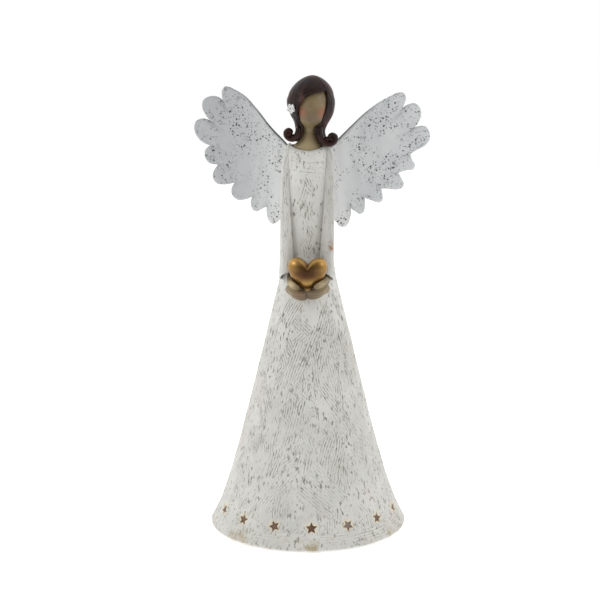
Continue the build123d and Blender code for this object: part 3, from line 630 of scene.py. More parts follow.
combedResin = gownMaterial()
hem = [*hemRows(), *[b for k in range(star["count"]) for b in starCell(k)]]
makePiece("gownHem", hem, combedResin, ["gown"])
for name, low, high, step in gown["bands"]:
    makePiece(name, [gownSection(low, high, step)], combedResin, ["gown"])
makePiece("gownBodice", [bodiceBlock()], combedResin, ["gown"])
makePiece("gownBosses", [bossTube(math.radians(90 + 120 * k)) for k in range(3)], combedResin, ["gown"])

# long sleeves
sleeve = {
    # level, x, y, half width, half depth
    "sections": [(167.5, 12.8, -14.4, 4.9, 7.6), (185, 13.1, -11.0, 4.3, 7.8), (202.5, 13.6, -7.5, 3.8, 8.0),
                 (225.25, 14.0, -3.0, 3.2, 7.2), (248, 13.0, 0.2, 2.7, 5.8), (255, 12.0, 0.6, 1.8, 3.8)],
    "square": 2.35, "columns": 170, "rows": 185, "cuffRise": 4.0, "cuffFront": 5.5, "pitch": 1.7, "depth": 0.55,
    # inset and rise of the rings that roll the cuff inwards
    "roll": ((1.15, 4.5), (1.1, 0.5), (0.85, 0.05), (0.5, -0.18), (0.15, -0.05)),
}


def sleeveBlock(side, seed):
    # stacked rounded ovals; the cuff is cut on a slant, is open below, and has a rolled edge
    random = np.random.default_rng(seed)
    turn = np.linspace(0, 2 * math.pi, sleeve["columns"], endpoint=False)
    sizes = np.array(sleeve["sections"], float)
    fieldLevels = np.arange(166.0, 257.0, 0.3)
    count = 46
    strokes = np.stack([random.random(count) * 2 * math.pi, random.uniform(168, 252, count),
                        np.radians(90 + random.normal(0, 7, count)), random.uniform(14, 34, count),
                        random.uniform(3.5, 7, count), random.normal(0, 0.002, count),
                        random.choice([1.0, 0.8, 0.5], count)], 1)
    field = paintStrokes(turn, fieldLevels, np.full(len(fieldLevels), 6.0), strokes, sleeve["pitch"])
    cos, sin = np.cos(turn), np.sin(turn)
    power = 2 / sleeve["square"]
    shapeX, shapeY = np.sign(cos) * np.abs(cos) ** power, np.sign(sin) * np.abs(sin) ** power
    low = 167.6 + sleeve["cuffRise"] * (0.5 - 0.5 * cos * side) ** 1.5 + sleeve["cuffFront"] * (0.5 - 0.5 * sin) ** 1.5
    share = np.linspace(0, 1, sleeve["rows"])[:, None]
    level = low + (256.2 - low) * share
    groove = sample(field, turn, fieldLevels, turn + 0 * level, level) * smoothStep(0.0, 0.02, share)
    dome = np.sqrt(np.clip(1 - ((level - 251.5) / 4.7).clip(0, 1) ** 2, 0, 1))

    def put(inset, level, dome=1.0, groove=0.0):
        x, y, a, b = [curveThrough(level, sizes[:, 0], sizes[:, k]) for k in (1, 2, 3, 4)]
        push = sleeve["depth"] * (0.25 - groove) - inset
        return np.stack([side * x + (a + push) * dome * shapeX, y + (b + push) * dome * shapeY, level], axis=-1)

    outside = put(0.0, level, dome, groove)
    edge = [put(inset, low + rise) for inset, rise in sleeve["roll"]]
    # a flat cap up inside the cuff, which with the first rings of the roll takes near black as painted shade of the
    # sleeve's hollow
    plug = np.broadcast_to(edge[0].mean(axis=0), edge[0].shape)
    whole = np.concatenate([np.stack([plug, *edge]), outside])
    dark = np.concatenate([np.array([1, 1, 0.6, 0.1, 0, 0])[:, None] + 0 * turn, 0 * groove])
    return block(whole, groove=np.concatenate([np.zeros((6, len(turn))), groove]), hollow=dark)


def sleeveMaterial():
    material, tree, shader = newMaterial("sleeveResin", roughness=0.72, specular=0.32)
    groove = attribute(tree, "groove")
    stretched = places(tree, (1, 1, 0.30))
    scumble = ramp(tree, noise(tree, 700, 3, 0.6), 0.38, 0.60)
    colour = blend(tree, noise(tree, 40, 4), (0.66, 0.655, 0.615), (0.73, 0.725, 0.685))
    worked = sums(tree, "ADD", times(tree, scumble, 0.7), 0.25)
    # painted shade: grey-brown in the grooves, broken up by the scumble
    grooveShade = times(tree, ramp(tree, groove, 0.35, 0.85), worked)
    colour = blend(tree, times(tree, grooveShade, 0.95), colour, (0.150, 0.137, 0.115))
    # painted shade: the sleeve on the viewer's right is darker
    colour = blend(tree, ramp(tree, axisOf(tree, "X"), 0.002, 0.010, 0.0, 0.30), colour, (0.33, 0.32, 0.29))
    gathered = ramp(tree, noise(tree, 90, 3, 0.6), 0.42, 0.60, 0.1, 1.0)
    flecks = times(tree, ramp(tree, noise(tree, 560, 2, 0.5, stretched), 0.57, 0.68), gathered)
    colour = blend(tree, times(tree, flecks, 0.6), colour, (0.20, 0.185, 0.155))
    # bare orange-brown spot low on the outer edge of one sleeve
    patchy = ramp(tree, noise(tree, 420, 3), 0.40, 0.56)
    worn = times(tree, nearness(tree, (0.0172, -0.0155, 0.1915), 0.0052), patchy)
    colour = blend(tree, times(tree, worn, 1.5), colour, (0.38, 0.19, 0.10))
    # painted shade: near black on the cap and the rolled edge inside the cuff
    colour = blend(tree, attribute(tree, "hollow"), colour, (0.06, 0.05, 0.04))
    tree.links.new(colour, shader.inputs["Base Color"])
    bump(tree, shader, noise(tree, 1500, 4, 0.6), 0.35, 0.00012)
    return material


sleeveResin = sleeveMaterial()
makePiece("sleeveOnLeft", [sleeveBlock(-1, 21)], sleeveResin, ["sleeve_left"])
makePiece("sleeveOnRight", [sleeveBlock(1, 22)], sleeveResin, ["sleeve_right"])


# wings
wing = {
    # sideways and up from the middle of the shoulders
    "thickness": 3.4, "sweep": 14.0, "planeY": 13.2, "shoulders": 255.0, "pivot": (15.3, -1.7),
    "drop": {-1: 0.0, 1: 4.5},
    "leading": {-1: [(4, -14), (15.3, -1.7), (26.9, 9.4), (36.9, 21), (45, 29), (54.9, 34.1)],
                1: [(4, -14), (15.3, -1.7), (26.9, 11.2), (35.2, 20), (44, 27.4), (55.7, 34.4)]},
    # each feather from notch to notch; side -1 is the viewer's left
    "feathers": {
        -1: [[(54.9, 34.1), (58.5, 34.3), (60.4, 31.6), (60.3, 27.1), (59.7, 23)],
             [(59.7, 23), (62.8, 27), (68.6, 27.6), (74, 24.3), (74.3, 19.5), (71.7, 14.7), (68.4, 10.6)],
             [(68.4, 10.6), (74.1, 12.6), (79.2, 10.4), (80.3, 5.2), (77.7, -0.4), (73.5, -3.7), (69.2, -5)],
             [(69.2, -5), (72.6, -8.3), (72.9, -12.9), (70, -16.8), (63.9, -17.9)],
             [(63.9, -17.9), (67, -22.4), (67.6, -26.5), (64.9, -30.4), (59.8, -31), (52.2, -29.5)],
             [(52.2, -29.5), (54.4, -33.6), (54.1, -37.4), (50.1, -40.7), (45.2, -40.4), (39.6, -38.1)],
             [(39.6, -38.1), (40.8, -42.3), (39.9, -46.3), (37.4, -48), (33.8, -46.4), (29.3, -44.2)],
             [(29.3, -44.2), (29.4, -48.8), (28.4, -53.4), (25.6, -55.7), (22.4, -54.2), (19.3, -50.9)]],
        1: [[(55.7, 34.4), (59.7, 34.6), (61.6, 32), (60.7, 26.6), (59.2, 21.9)],
            [(59.2, 21.9), (63.4, 27), (68.7, 28), (72.2, 24.6), (72.9, 19.4), (71, 14.7), (67.9, 11.1)],
            [(67.9, 11.1), (71.5, 13), (76.1, 13.5), (79.7, 9.5), (79.9, 4.4), (76.8, 0.2), (72.4, -2.3), (68, -5.4)],
            [(68, -5.4), (69.6, -9.4), (71.9, -12.8), (71.2, -15.4), (66.6, -16.4), (61.2, -18.4)],
            [(61.2, -18.4), (63.8, -22.3), (65.6, -25.6), (64.2, -28.4), (60.2, -29.6), (55.5, -29.3), (50.5, -29.5)],
            [(50.5, -29.5), (51.8, -33.8), (52.1, -37), (50.1, -38.7), (45.2, -37.8), (39.8, -36.1)],
            [(39.8, -36.1), (40.4, -41.3), (39.8, -45.7), (37.8, -47.1), (34.2, -45.4), (29.9, -43)],
            [(29.9, -43), (31.1, -46.9), (30.7, -52.1), (28.7, -55.9), (25.8, -56.3), (22.7, -54.2), (19.9, -50.6)]],
    },
    "rootLow": (4.0, -45.0), "root": (8.0, -23.0), "middle": (28.0, -8.0), "edge": 2.3, "points": 620,
    "pad": {"across": 6.5, "half": (4.5, 15.0), "level": 230.0, "from": 13.4, "to": 6.2},
    "pegs": {"radius": 2.0, "from": 13.0, "to": 3.2, "levels": (222.0, 238.0)},
}


def alongCurve(points, count):
    # even steps along a smooth line through the given points, its end left out
    points = np.array(points, float)
    along = np.concatenate([[0], np.cumsum(np.hypot(*np.diff(points, axis=0).T))])
    at = np.linspace(0, along[-1], count, endpoint=False)
    return np.stack([curveThrough(at, along, points[:, 0]), curveThrough(at, along, points[:, 1])], 1)


def wingOutline(side):
    # up the root, along the leading edge, then feather by feather back to the root, at even steps
    lead, feathers = wing["leading"][side], wing["feathers"][side]
    rows = [np.linspace(wing["rootLow"], lead[0], 40, endpoint=False), alongCurve(lead, 160)]
    rows += [alongCurve(feather, 80) for feather in feathers]
    rows.append(np.linspace(feathers[-1][-1], wing["rootLow"], 24, endpoint=False))
    line = np.concatenate(rows)
    closed = np.concatenate([line, line[:1]])
    length = np.concatenate([[0], np.cumsum(np.hypot(*np.diff(closed, axis=0).T))])
    step = np.linspace(0, length[-1], wing["points"], endpoint=False)
    return np.stack([np.interp(step, length, closed[:, 0]), np.interp(step, length, closed[:, 1])], 1)


def wingBlock(side):
    # rings from the outline to the middle on both faces; half thickness = H sqrt(1 - (1 - d/e)^2) at a distance d
    # from the edge, with a shallow valley running in from each notch and low waves over the whole face
    outline, middle = wingOutline(side), np.array(wing["middle"])
    spoke = outline - middle
    length = np.hypot(*spoke.T)
    near = np.array([0, 0.12, 0.35, 0.7, 1.1, 1.6, 2.2, 3.0])
    far = np.linspace(0.0, 1.0, 27)[1:] ** 0.9
    inset = np.concatenate([near[:, None] / length, near[-1] / length + (1 - near[-1] / length) * far[:, None]])
    flat = middle + spoke * (1 - inset)[..., None]
    depth = inset * length
    half = wing["thickness"] / 2 * np.sqrt(1 - (1 - np.clip(depth / wing["edge"], 0, 1)) ** 2)
    valley, root = np.zeros(flat.shape[:2]), np.array(wing["root"])
    for feather in wing["feathers"][side][:-1]:
        notch = np.array(feather[-1])
        run = (root - notch) * 0.20
        share = np.clip(((flat - notch) @ run) / (run @ run), 0, 1)
        apart = np.hypot(*np.moveaxis(flat - notch - share[..., None] * run, -1, 0))
        valley = np.maximum(valley, np.exp(-(apart / 1.5) ** 2) * (1 - share) * smoothStep(0, 1.2, depth))
    u, v = flat[..., 0], flat[..., 1]
    waves = 0.16 * np.sin(0.33 * u + 0.21 * v) * np.sin(0.27 * v - 0.18 * u) + 0.10 * np.sin(0.7 * u + 0.2 * v)
    waves = waves * smoothStep(0.5, 3, depth)
    sheets = [half - 0.55 * valley + waves, -half + 0.35 * valley + 0.7 * waves]
    # painted shade along the inner half of the leading edge, carried to the material as lead
    lead = smoothStep(48, 26, u) * smoothStep(1.1, 0.3, depth) * (v > 0.8 * u - 47) * (u > 4.2)
    edge = np.exp(-(depth / 0.55) ** 2)
    sweep, drop = math.radians(wing["sweep"]), math.radians(wing["drop"][side])
    pu, pv = wing["pivot"]
    turnedU = pu + (u - pu) * math.cos(drop) + (v - pv) * math.sin(drop)
    turnedV = wing["shoulders"] + pv - (u - pu) * math.sin(drop) + (v - pv) * math.cos(drop)
    blocks = []
    for sheet, flip in zip(sheets, (True, False)):
        x = side * (turnedU * math.cos(sweep) + sheet * math.sin(sweep))
        y = wing["planeY"] + turnedU * math.sin(sweep) - sheet * math.cos(sweep)
        blocks.append(block(np.stack([x, y, turnedV], -1), flip=flip != (side < 0), edge=edge, lead=lead,
                            back=np.float64(not flip), valley=valley))
    # block between the wing and the back, and its two pegs
    turn = np.linspace(0, 2 * math.pi, 40, endpoint=False)
    pad, pegs = wing["pad"], wing["pegs"]
    across, up = np.sign(np.cos(turn)) * np.abs(np.cos(turn)) ** 0.8 * pad["half"][0], np.sin(turn) * pad["half"][1]
    rows = [np.stack([side * (pad["across"] + k * across), 0 * turn + y, pad["level"] + k * up], -1)
            for k, y in ((0, pad["from"]), (1, pad["from"]), (1, pad["to"]), (0, pad["to"]))]
    blocks.append(block(np.stack(rows), flip=side < 0))
    for level in pegs["levels"]:
        rows = [np.stack([side * (pad["across"] + r * np.cos(turn)), 0 * turn + y, level + r * np.sin(turn)], -1)
                for r, y in ((0, pegs["from"]), (pegs["radius"], pegs["from"]), (pegs["radius"], pegs["to"] + 0.4),
                             (pegs["radius"] - 0.4, pegs["to"]), (0, pegs["to"]))]
        blocks.append(block(np.stack(rows), flip=side < 0))
    return blocks


def wingMaterial():
    material, tree, shader = newMaterial("pittedResin", roughness=0.62, specular=0.35)
    cloud = ramp(tree, noise(tree, 42, 4, 0.6), 0.35, 0.65)
    colour = blend(tree, cloud, (0.605, 0.625, 0.635), (0.680, 0.695, 0.695))
    # painted light: paler near the roots of both wings; painted shade: darker on the outer part of the left wing
    side = axisOf(tree, "X")
    inner = times(tree, ramp(tree, sums(tree, "ABSOLUTE", side), 0.042, 0.014), 0.85)
    colour = blend(tree, inner, colour, (0.80, 0.805, 0.80))
    shade = times(tree, ramp(tree, side, -0.022, -0.060), ramp(tree, cloud, 0.0, 1.0, 0.75, 1.0))
    colour = blend(tree, shade, colour, (0.475, 0.49, 0.50))
    # pits of two sizes, in patches
    patch = ramp(tree, noise(tree, 56, 4, 0.65), 0.42, 0.58)
    large = ramp(tree, spots(tree, 400), 0.17, 0.33, 1.0, 0.0)
    small = ramp(tree, spots(tree, 700), 0.20, 0.40, 1.0, 0.0)
    pits = times(tree, sums(tree, "MAXIMUM", large, times(tree, small, 0.7)), patch)
    pits = times(tree, pits, ramp(tree, noise(tree, 330, 2), 0.36, 0.52))
    colour = blend(tree, times(tree, pits, 0.97), colour, (0.040, 0.040, 0.040))
    # painted shade in the valleys that run in from the notches
    colour = blend(tree, times(tree, attribute(tree, "valley"), 0.22), colour, (0.16, 0.16, 0.16))
    # painted shade along the rounded edges of the feathers, broken up in patches
    hemWearAndEdgeShade = times(tree, attribute(tree, "edge"), ramp(tree, noise(tree, 90, 4), 0.40, 0.66, 0.10, 0.55))
    colour = blend(tree, hemWearAndEdgeShade, colour, (0.20, 0.20, 0.20))
    # painted shade on the leading edge
    colour = blend(tree, times(tree, attribute(tree, "lead"), 0.9), colour, (0.075, 0.078, 0.075))
    tree.links.new(colour, shader.inputs["Base Color"])
    bump(tree, shader, noise(tree, 1300, 4, 0.6), 0.35, 0.00012)
    bump(tree, shader, pits, -0.8, 0.0004)
    return material


pittedResin = wingMaterial()
makePiece("wingOnLeft", wingBlock(-1), pittedResin, ["wing_left"])
makePiece("wingOnRight", wingBlock(1), pittedResin, ["wing_right"])

# head, neck and collar
head = {
    # level, x, y, half width, half depth
    "sections": [(250.0, 0, 0, 10.0, 6.9), (252.4, 0, 0, 10.0, 6.9), (254.2, 0.0, 0, 9.7, 6.6),
                 (257.0, 0.3, -0.1, 7.2, 5.7),
                 (259.5, 0.7, -0.1, 5.5, 5.0), (262.0, 1.0, -0.1, 4.5, 4.5), (265.0, 1.1, -0.2, 4.2, 4.4),
                 (267.0, 1.5, -0.9, 4.7, 5.3), (269.0, 2.1, -1.8, 6.4, 7.5), (271.0, 2.5, -2.1, 8.0, 9.3),
                 (274.0, 2.8, -2.0, 9.4, 10.6), (279.0, 3.0, -1.8, 10.6, 11.4), (284.0, 3.1, -1.6, 10.9, 11.3),
                 (289.0, 3.0, -1.4, 9.8, 10.2), (292.0, 2.9, -1.2, 7.8, 8.4), (294.5, 2.8, -1.0, 4.6, 5.4)],
    "top": 296.0, "columns": 128, "rows": 130,
}


def headBlock():
    # collar, neck and a blank oval face as stacked ovals
    sizes = np.array(head["sections"], float)
    turn = np.linspace(0, 2 * math.pi, head["columns"], endpoint=False)
    level = np.linspace(sizes[0, 0], sizes[-1, 0], head["rows"])
    x, y, a, b = [curveThrough(level, sizes[:, 0], sizes[:, k]) for k in (1, 2, 3, 4)]
    body = ringPoints(a, b, level, turn, x, y)
    ends = [ringPoints(np.zeros(1), 0.0, np.full(1, z), turn, np.full(1, x), np.full(1, y))
            for z, x, y in ((250.0, 0.0, 0.0), (head["top"], 2.8, -1.0))]
    spigot = [plainRing(turn, r, z)[None] for r, z in ((0, 243.5), (3.5, 243.5), (3.5, 250.0))]
    return [block(np.concatenate([*spigot, body, ends[1]]))]


def skinMaterial(name, blushes=(), patches=()):
    # patches, of painted light and painted shade, are place, reach, strength and colour; blushes leave the colour out
    material, tree, shader = newMaterial(name, roughness=0.42, specular=0.40, coat=0.12, coatRoughness=0.35)
    colour = blend(tree, ramp(tree, noise(tree, 90, 4, 0.6), 0.35, 0.65), (0.172, 0.126, 0.062), (0.232, 0.172, 0.086))
    colour = blend(tree, ramp(tree, noise(tree, 240, 3, 0.6), 0.55, 0.75, 0.0, 0.35), colour, (0.34, 0.265, 0.160))
    for point, reach, strength, paint in patches:
        colour = blend(tree, times(tree, nearness(tree, point, reach), strength), colour, paint)
    for point, reach, strength in blushes:
        colour = blend(tree, times(tree, nearness(tree, point, reach), strength), colour, (0.30, 0.105, 0.055))
    tree.links.new(colour, shader.inputs["Base Color"])
    bump(tree, shader, noise(tree, 620, 4, 0.55), 0.22, 0.00015)
    return material


# blush on both cheeks; painted shade on the lower face and chin; painted light on the collar
skinPaint = skinMaterial("skinPaint",
                         [((-0.0030, -0.0105, 0.2775), 0.0058, 0.85), ((0.0100, -0.0105, 0.2770), 0.0062, 0.85)],
                         [((0.0032, -0.013, 0.2735), 0.0100, 0.85, (0.130, 0.088, 0.043)),
                          ((0.0, -0.0065, 0.2540), 0.0125, 1.0, (0.40, 0.315, 0.175))])
makePiece("headOvals", headBlock(), skinPaint, ["head"])

# hair with a swept fringe
hair = {
    # level, x, y, half width, half depth of the level ovals below the crown
    "sections": [(256.0, 0.6, 0.4, 12.6, 9.6), (258.5, 0.7, 0.4, 11.6, 9.0), (261.0, 1.0, 0.4, 10.6, 8.7),
                 (264.0, 1.4, 0.4, 9.7, 8.8), (267.0, 1.8, 0.5, 10.2, 9.4), (270.5, 2.3, 0.8, 11.6, 10.8),
                 (274.0, 2.3, 1.0, 13.5, 12.8), (278.5, 2.1, 1.2, 14.95, 14.6), (283.0, 2.05, 1.2, 15.35, 15.2),
                 (288.0, 2.1, 1.2, 14.3, 14.3)],
    "crown": 288.0, "top": 300.0,
    # the edge of the hair round the face, from below to the parting: x, level
    "left": [(-8.4, 258.4), (-5.6, 260.2), (-4.2, 263.0), (-3.3, 267.7), (-5.1, 272.8), (-6.0, 278.9), (-3.6, 283.3),
             (0.0, 287.0), (4.1, 289.2), (8.4, 290.3), (12.0, 291.3)],
    "right": [(10.6, 257.0), (7.4, 259.5), (6.0, 262.5), (5.3, 266.1), (8.0, 270.1), (10.4, 274.5), (12.4, 279.0),
              (13.0, 283.6), (12.9, 287.0), (12.6, 289.5), (12.0, 291.3)],
    "back": [255.6, 258.6, 262.0, 266.0, 270.5, 275.2, 279.8, 284.2, 288.2, 291.6, 294.6, 297.2, 299.1, 300.0],
    "parting": [(-42, 295.2), (-46, 298.4), (-50, 300.0)],       # direction in degrees and level, on to the top
    "columns": 230, "rows": 170, "thick": 2.7, "lip": 1.0, "gap": 0.3,
}


def hairSection(level):
    # x, y, half width and half depth at a level; above the crown, size = (1 - q^1.5)^0.58 with q from 0 to 1
    sizes = np.array(hair["sections"], float)
    x, y, a, b = [curveThrough(level, sizes[:, 0], sizes[:, k]) for k in (1, 2, 3, 4)]
    q = np.clip((level - hair["crown"]) / (hair["top"] - hair["crown"]), 0, 1)
    close = (1 - q**1.5) ** 0.58
    return x + 0.7 * q, y, a * close, b * close


def hairBlock():
    # each row is a closed loop: the outside from the right edge of the face round the back to the left edge, a round
    # lip, and the inside back again; above the parting both edges meet, and the lips between them leave a crease
    left, right = np.array(hair["left"]), np.array(hair["right"])
    turns = []
    for line, mirror in ((right, False), (left, True)):
        x, _, a, _ = hairSection(line[:, 1])
        angle = np.degrees(np.arccos(np.clip((line[:, 0] - x) / a, -1, 1)))
        turns.append(np.concatenate([360 - angle if mirror else -angle, [d + 360 * mirror for d, _ in hair["parting"]]])
                     - hair["gap"] * mirror)
    # s counts the given points, from the ends of the hair at 0 to the top at 13
    knots = np.arange(float(len(hair["back"])))
    s = np.linspace(0, knots[-1], hair["rows"])[:, None]
    rightTurn, leftTurn = [np.radians(curveThrough(s, knots, t)) for t in turns]
    partingLevels = [z for _, z in hair["parting"]]
    rightLevel = curveThrough(s, knots, np.concatenate([right[:, 1], partingLevels]))
    leftLevel = curveThrough(s, knots, np.concatenate([left[:, 1], partingLevels]))
    backLevel = curveThrough(s, knots, hair["back"])
    lip = hair["lip"] * (1 - 0.55 * smoothStep(9.5, 11.5, s)) * smoothStep(13.0, 12.2, s)
    t = np.linspace(0, 1, hair["columns"])[None]

    def place(t, over, inset, strand=0.0):
        # over moves along the loop beyond an edge, inset moves in towards the head, both in millimetres
        level = backLevel + (rightLevel - backLevel) * (1 - smoothStep(0, 0.36, t)) \
            + (leftLevel - backLevel) * smoothStep(0.46, 1, t)
        x, y, a, b = hairSection(level)
        size = np.maximum((a + b) / 2, 0.5)
        turn = rightTurn + lip / size + t * (leftTurn - rightTurn - 2 * lip / size) + over / size
        roll = 0.9 * np.exp(-((1 - t) / 0.05) ** 2) * smoothStep(3.5, 5.5, s) * smoothStep(10.6, 9.0, s)
        fringe = 0.8 * np.exp(-((t - 0.84) / 0.12) ** 2) * smoothStep(4.5, 7.0, s) * smoothStep(12.0, 10.0, s)
        grow = roll + fringe - inset - strand
        shrink = np.clip(1 + grow / np.maximum(size, 2.8), 0, None)
        return np.stack([x + a * shrink * np.cos(turn), y + b * shrink * np.sin(turn), level + 0 * turn], -1)

    flow = 21 * t + 0.8 * np.sin(0.9 * s + 7 * t) + 0.35 * np.sin(2.3 * s - 15 * t)
    fine = 58 * t + 1.2 * np.sin(1.3 * s + 11 * t)
    strand = 0.15 * (0.5 + 0.5 * np.cos(2 * math.pi * flow)) ** 3 + 0.03 * (0.5 + 0.5 * np.cos(2 * math.pi * fine))
    strand = strand * smoothStep(13.0, 11.6, s) * smoothStep(0, 0.012, t) * smoothStep(1, 0.988, t)
    roundLip = np.linspace(0, math.pi, 9)[1:-1][None]
    thick = hair["thick"]

    def loop(lips, outer, inner, strand):
        half, out = (inner - outer) / 2, lips * lip * np.sin(roundLip)
        leftLip = place(np.ones_like(roundLip), out, outer + half * (1 - np.cos(roundLip)))
        rightLip = place(np.zeros_like(roundLip), -out, outer + half * (1 + np.cos(roundLip)))
        return np.concatenate([place(t, 0, outer, strand), leftLip, place(t[:, ::-1], 0, inner), rightLip], axis=1)

    loops = loop(1, 0, thick, strand)
    marks = np.concatenate([strand / 0.18, np.zeros((len(s), loops.shape[1] - t.shape[1]))], axis=1)
    # the outside and the inside meet below, and all points meet at the top
    hem = loop(0, thick / 2, thick / 2, 0.0)[:1] - np.array([0, 0, 0.5])
    top = np.broadcast_to(loops[-1:].mean(axis=1, keepdims=True), loops[:1].shape)
    return block(np.concatenate([hem, loops, top]), strand=np.concatenate([marks[:1], marks, marks[-1:] * 0]))


def tube(path, radii, columns=24, flat=1.0, samples=60, across=(0.0, 1.0, 0.0)):
    # an oval section carried along a smooth path, closed by round ends; flat is its size along across over its radius
    path, radii = np.asarray(path, float), np.asarray(radii, float)
    along = np.concatenate([[0], np.cumsum(np.linalg.norm(np.diff(path, axis=0), axis=1))])
    at = along[-1] * (0.5 - 0.5 * np.cos(np.linspace(0, math.pi, samples)))
    line = np.stack([curveThrough(at, along, path[:, k]) for k in range(3)], 1)
    size = curveThrough(at, along, radii)
    end = np.minimum(at, along[-1] - at)
    size = size * np.sqrt(np.clip(1 - (1 - np.clip(end / size, 0, 1)) ** 2, 0, 1))
    way = np.gradient(line, axis=0)
    way /= np.linalg.norm(way, axis=1, keepdims=True)
    wide = np.asarray(across, float) - (way @ np.asarray(across, float))[:, None] * way
    wide /= np.linalg.norm(wide, axis=1, keepdims=True)
    up = np.cross(way, wide)
    turn = np.linspace(0, 2 * math.pi, columns, endpoint=False)
    points = (line[:, None] + size[:, None, None] * (np.cos(turn)[None, :, None] * wide[:, None] * flat
                                                     + np.sin(turn)[None, :, None] * up[:, None]))
    return block(points)


def ellipsoidBlock(centre, half, turned=np.eye(3), rows=20, columns=28):
    # x, y, z = half sizes times the points of a ball, turned and moved
    circle = np.linspace(0, 2 * math.pi, columns, endpoint=False)
    down, turn = np.meshgrid(np.linspace(math.pi, 0, rows), circle, indexing="ij")
    ball = np.stack([np.sin(down) * np.cos(turn), np.sin(down) * np.sin(turn), np.cos(down)], -1)
    return block(np.asarray(centre) + (ball * np.asarray(half)) @ np.asarray(turned))


curls = {
    "left": [(-5.3, 268.5), (-5.7, 264.4), (-6.9, 261.2), (-9.3, 259.6), (-12.0, 259.9), (-13.8, 261.7), (-13.8, 264.0),
             (-12.1, 265.2), (-10.6, 264.2), (-11.6, 262.7)],
    "right": [(8.4, 268.5), (7.7, 263.5), (9.2, 259.2), (12.4, 256.8), (15.8, 256.8), (18.0, 258.7), (17.8, 261.4),
              (15.8, 262.4), (14.2, 261.0), (15.4, 259.6)],
    "radii": [1.9, 2.2, 2.2, 2.0, 1.8, 1.6, 1.6, 1.5, 1.4, 1.5], "middleY": -4.6, "flat": 2.0,
    # x, level and half sizes of the ovals that fill the curls
    "balls": [(-12.0, 262.6, (2.3, 3.0, 2.3)), (15.7, 259.8, (2.3, 3.0, 2.3)), (-9.4, 261.0, (1.9, 2.6, 1.7)),
              (12.6, 259.4, (2.4, 2.8, 1.9))],
}


def hairMaterial():
    material, tree, shader = newMaterial("hairPaint", roughness=0.36, specular=0.16, coat=0.09, coatRoughness=0.10)
    colour = blend(tree, ramp(tree, noise(tree, 110, 3), 0.35, 0.65), (0.014, 0.006, 0.005), (0.030, 0.011, 0.008))
    red = times(tree, ramp(tree, noise(tree, 70, 2, where=places(tree, (1, 1, 0.45))), 0.48, 0.68), 0.75)
    # painted shade: less red towards the bottom, so the curls stay near black
    red = times(tree, red, ramp(tree, axisOf(tree, "Z"), 0.263, 0.270, 0.12, 1.0))
    colour = blend(tree, red, colour, (0.120, 0.030, 0.016))
    # painted shade in the strand grooves
    colour = blend(tree, times(tree, attribute(tree, "strand"), 0.5), colour, (0.010, 0.005, 0.004))
    tree.links.new(colour, shader.inputs["Base Color"])
    bump(tree, shader, noise(tree, 480, 3, where=places(tree, (1, 1, 0.25))), 0.16, 0.0002)
    return material


hairPaint = hairMaterial()
hairLoops = hairBlock()
curlTubes = [tube([(x, curls["middleY"], z) for x, z in curls[side]], curls["radii"], 32, curls["flat"], 110)
             for side in ("left", "right")]
curlTubes += [ellipsoidBlock((x, curls["middleY"], z), half) for x, z, half in curls["balls"]]
makePiece("hairAndCurls", [hairLoops, *curlTubes], hairPaint, ["hair"])

# flower in the hair
flower = {
    "place": (-8.9, -9.3, 279.6), "turn": 232.0, "rise": 2.0, "tip": 0.35,
    "petals": 5, "reach": 1.9, "half": (1.75, 1.35, 0.7), "knob": (0.95, 0.95, 0.75),
}


def flowerBlocks():
    # flattened ovals round a small knob, each petal tipped up at its outer end
    turn, rise = math.radians(flower["turn"]), math.radians(flower["rise"])
    out = np.array([math.cos(turn) * math.cos(rise), math.sin(turn) * math.cos(rise), math.sin(rise)])
    side = np.cross(out, (0, 0, 1.0))
    side /= np.linalg.norm(side)
    up = np.cross(side, out)
    blocks = []
    for k in range(flower["petals"]):
        angle = math.radians(72 * k + 54)
        along = math.cos(angle) * side + math.sin(angle) * up
        tipped = along * math.cos(flower["tip"]) + out * math.sin(flower["tip"])
        across = np.cross(out, along)
        frameOf = np.stack([tipped, across, np.cross(tipped, across)])
        centre = np.array(flower["place"]) + out * 0.9 + tipped * flower["reach"]
        blocks.append(ellipsoidBlock(centre, flower["half"], frameOf))
    blocks.append(ellipsoidBlock(np.array(flower["place"]) + out, flower["knob"], np.stack([side, -up, out])))
    return blocks


def silverMaterial():
    material, tree, shader = newMaterial("silverPaint", roughness=0.38, metallic=0.35, specular=0.5)
    colour = blend(tree, ramp(tree, noise(tree, 700, 3), 0.38, 0.62), (0.42, 0.41, 0.41), (0.80, 0.79, 0.79))
    tree.links.new(colour, shader.inputs["Base Color"])
    bump(tree, shader, noise(tree, 1300, 3), 0.3, 0.0001)
    return material


makePiece("hairFlower", flowerBlocks(), silverMaterial(), ["hair_flower"])

# heart
heart = {
    "x": 1.7, "top": 186.3, "y": -27.0, "width": 25.2, "height": 21.8, "depth": 12.8,
    "cleft": 0.30, "full": 1.4,     # depth of the cleft, fullness of the lower half
}


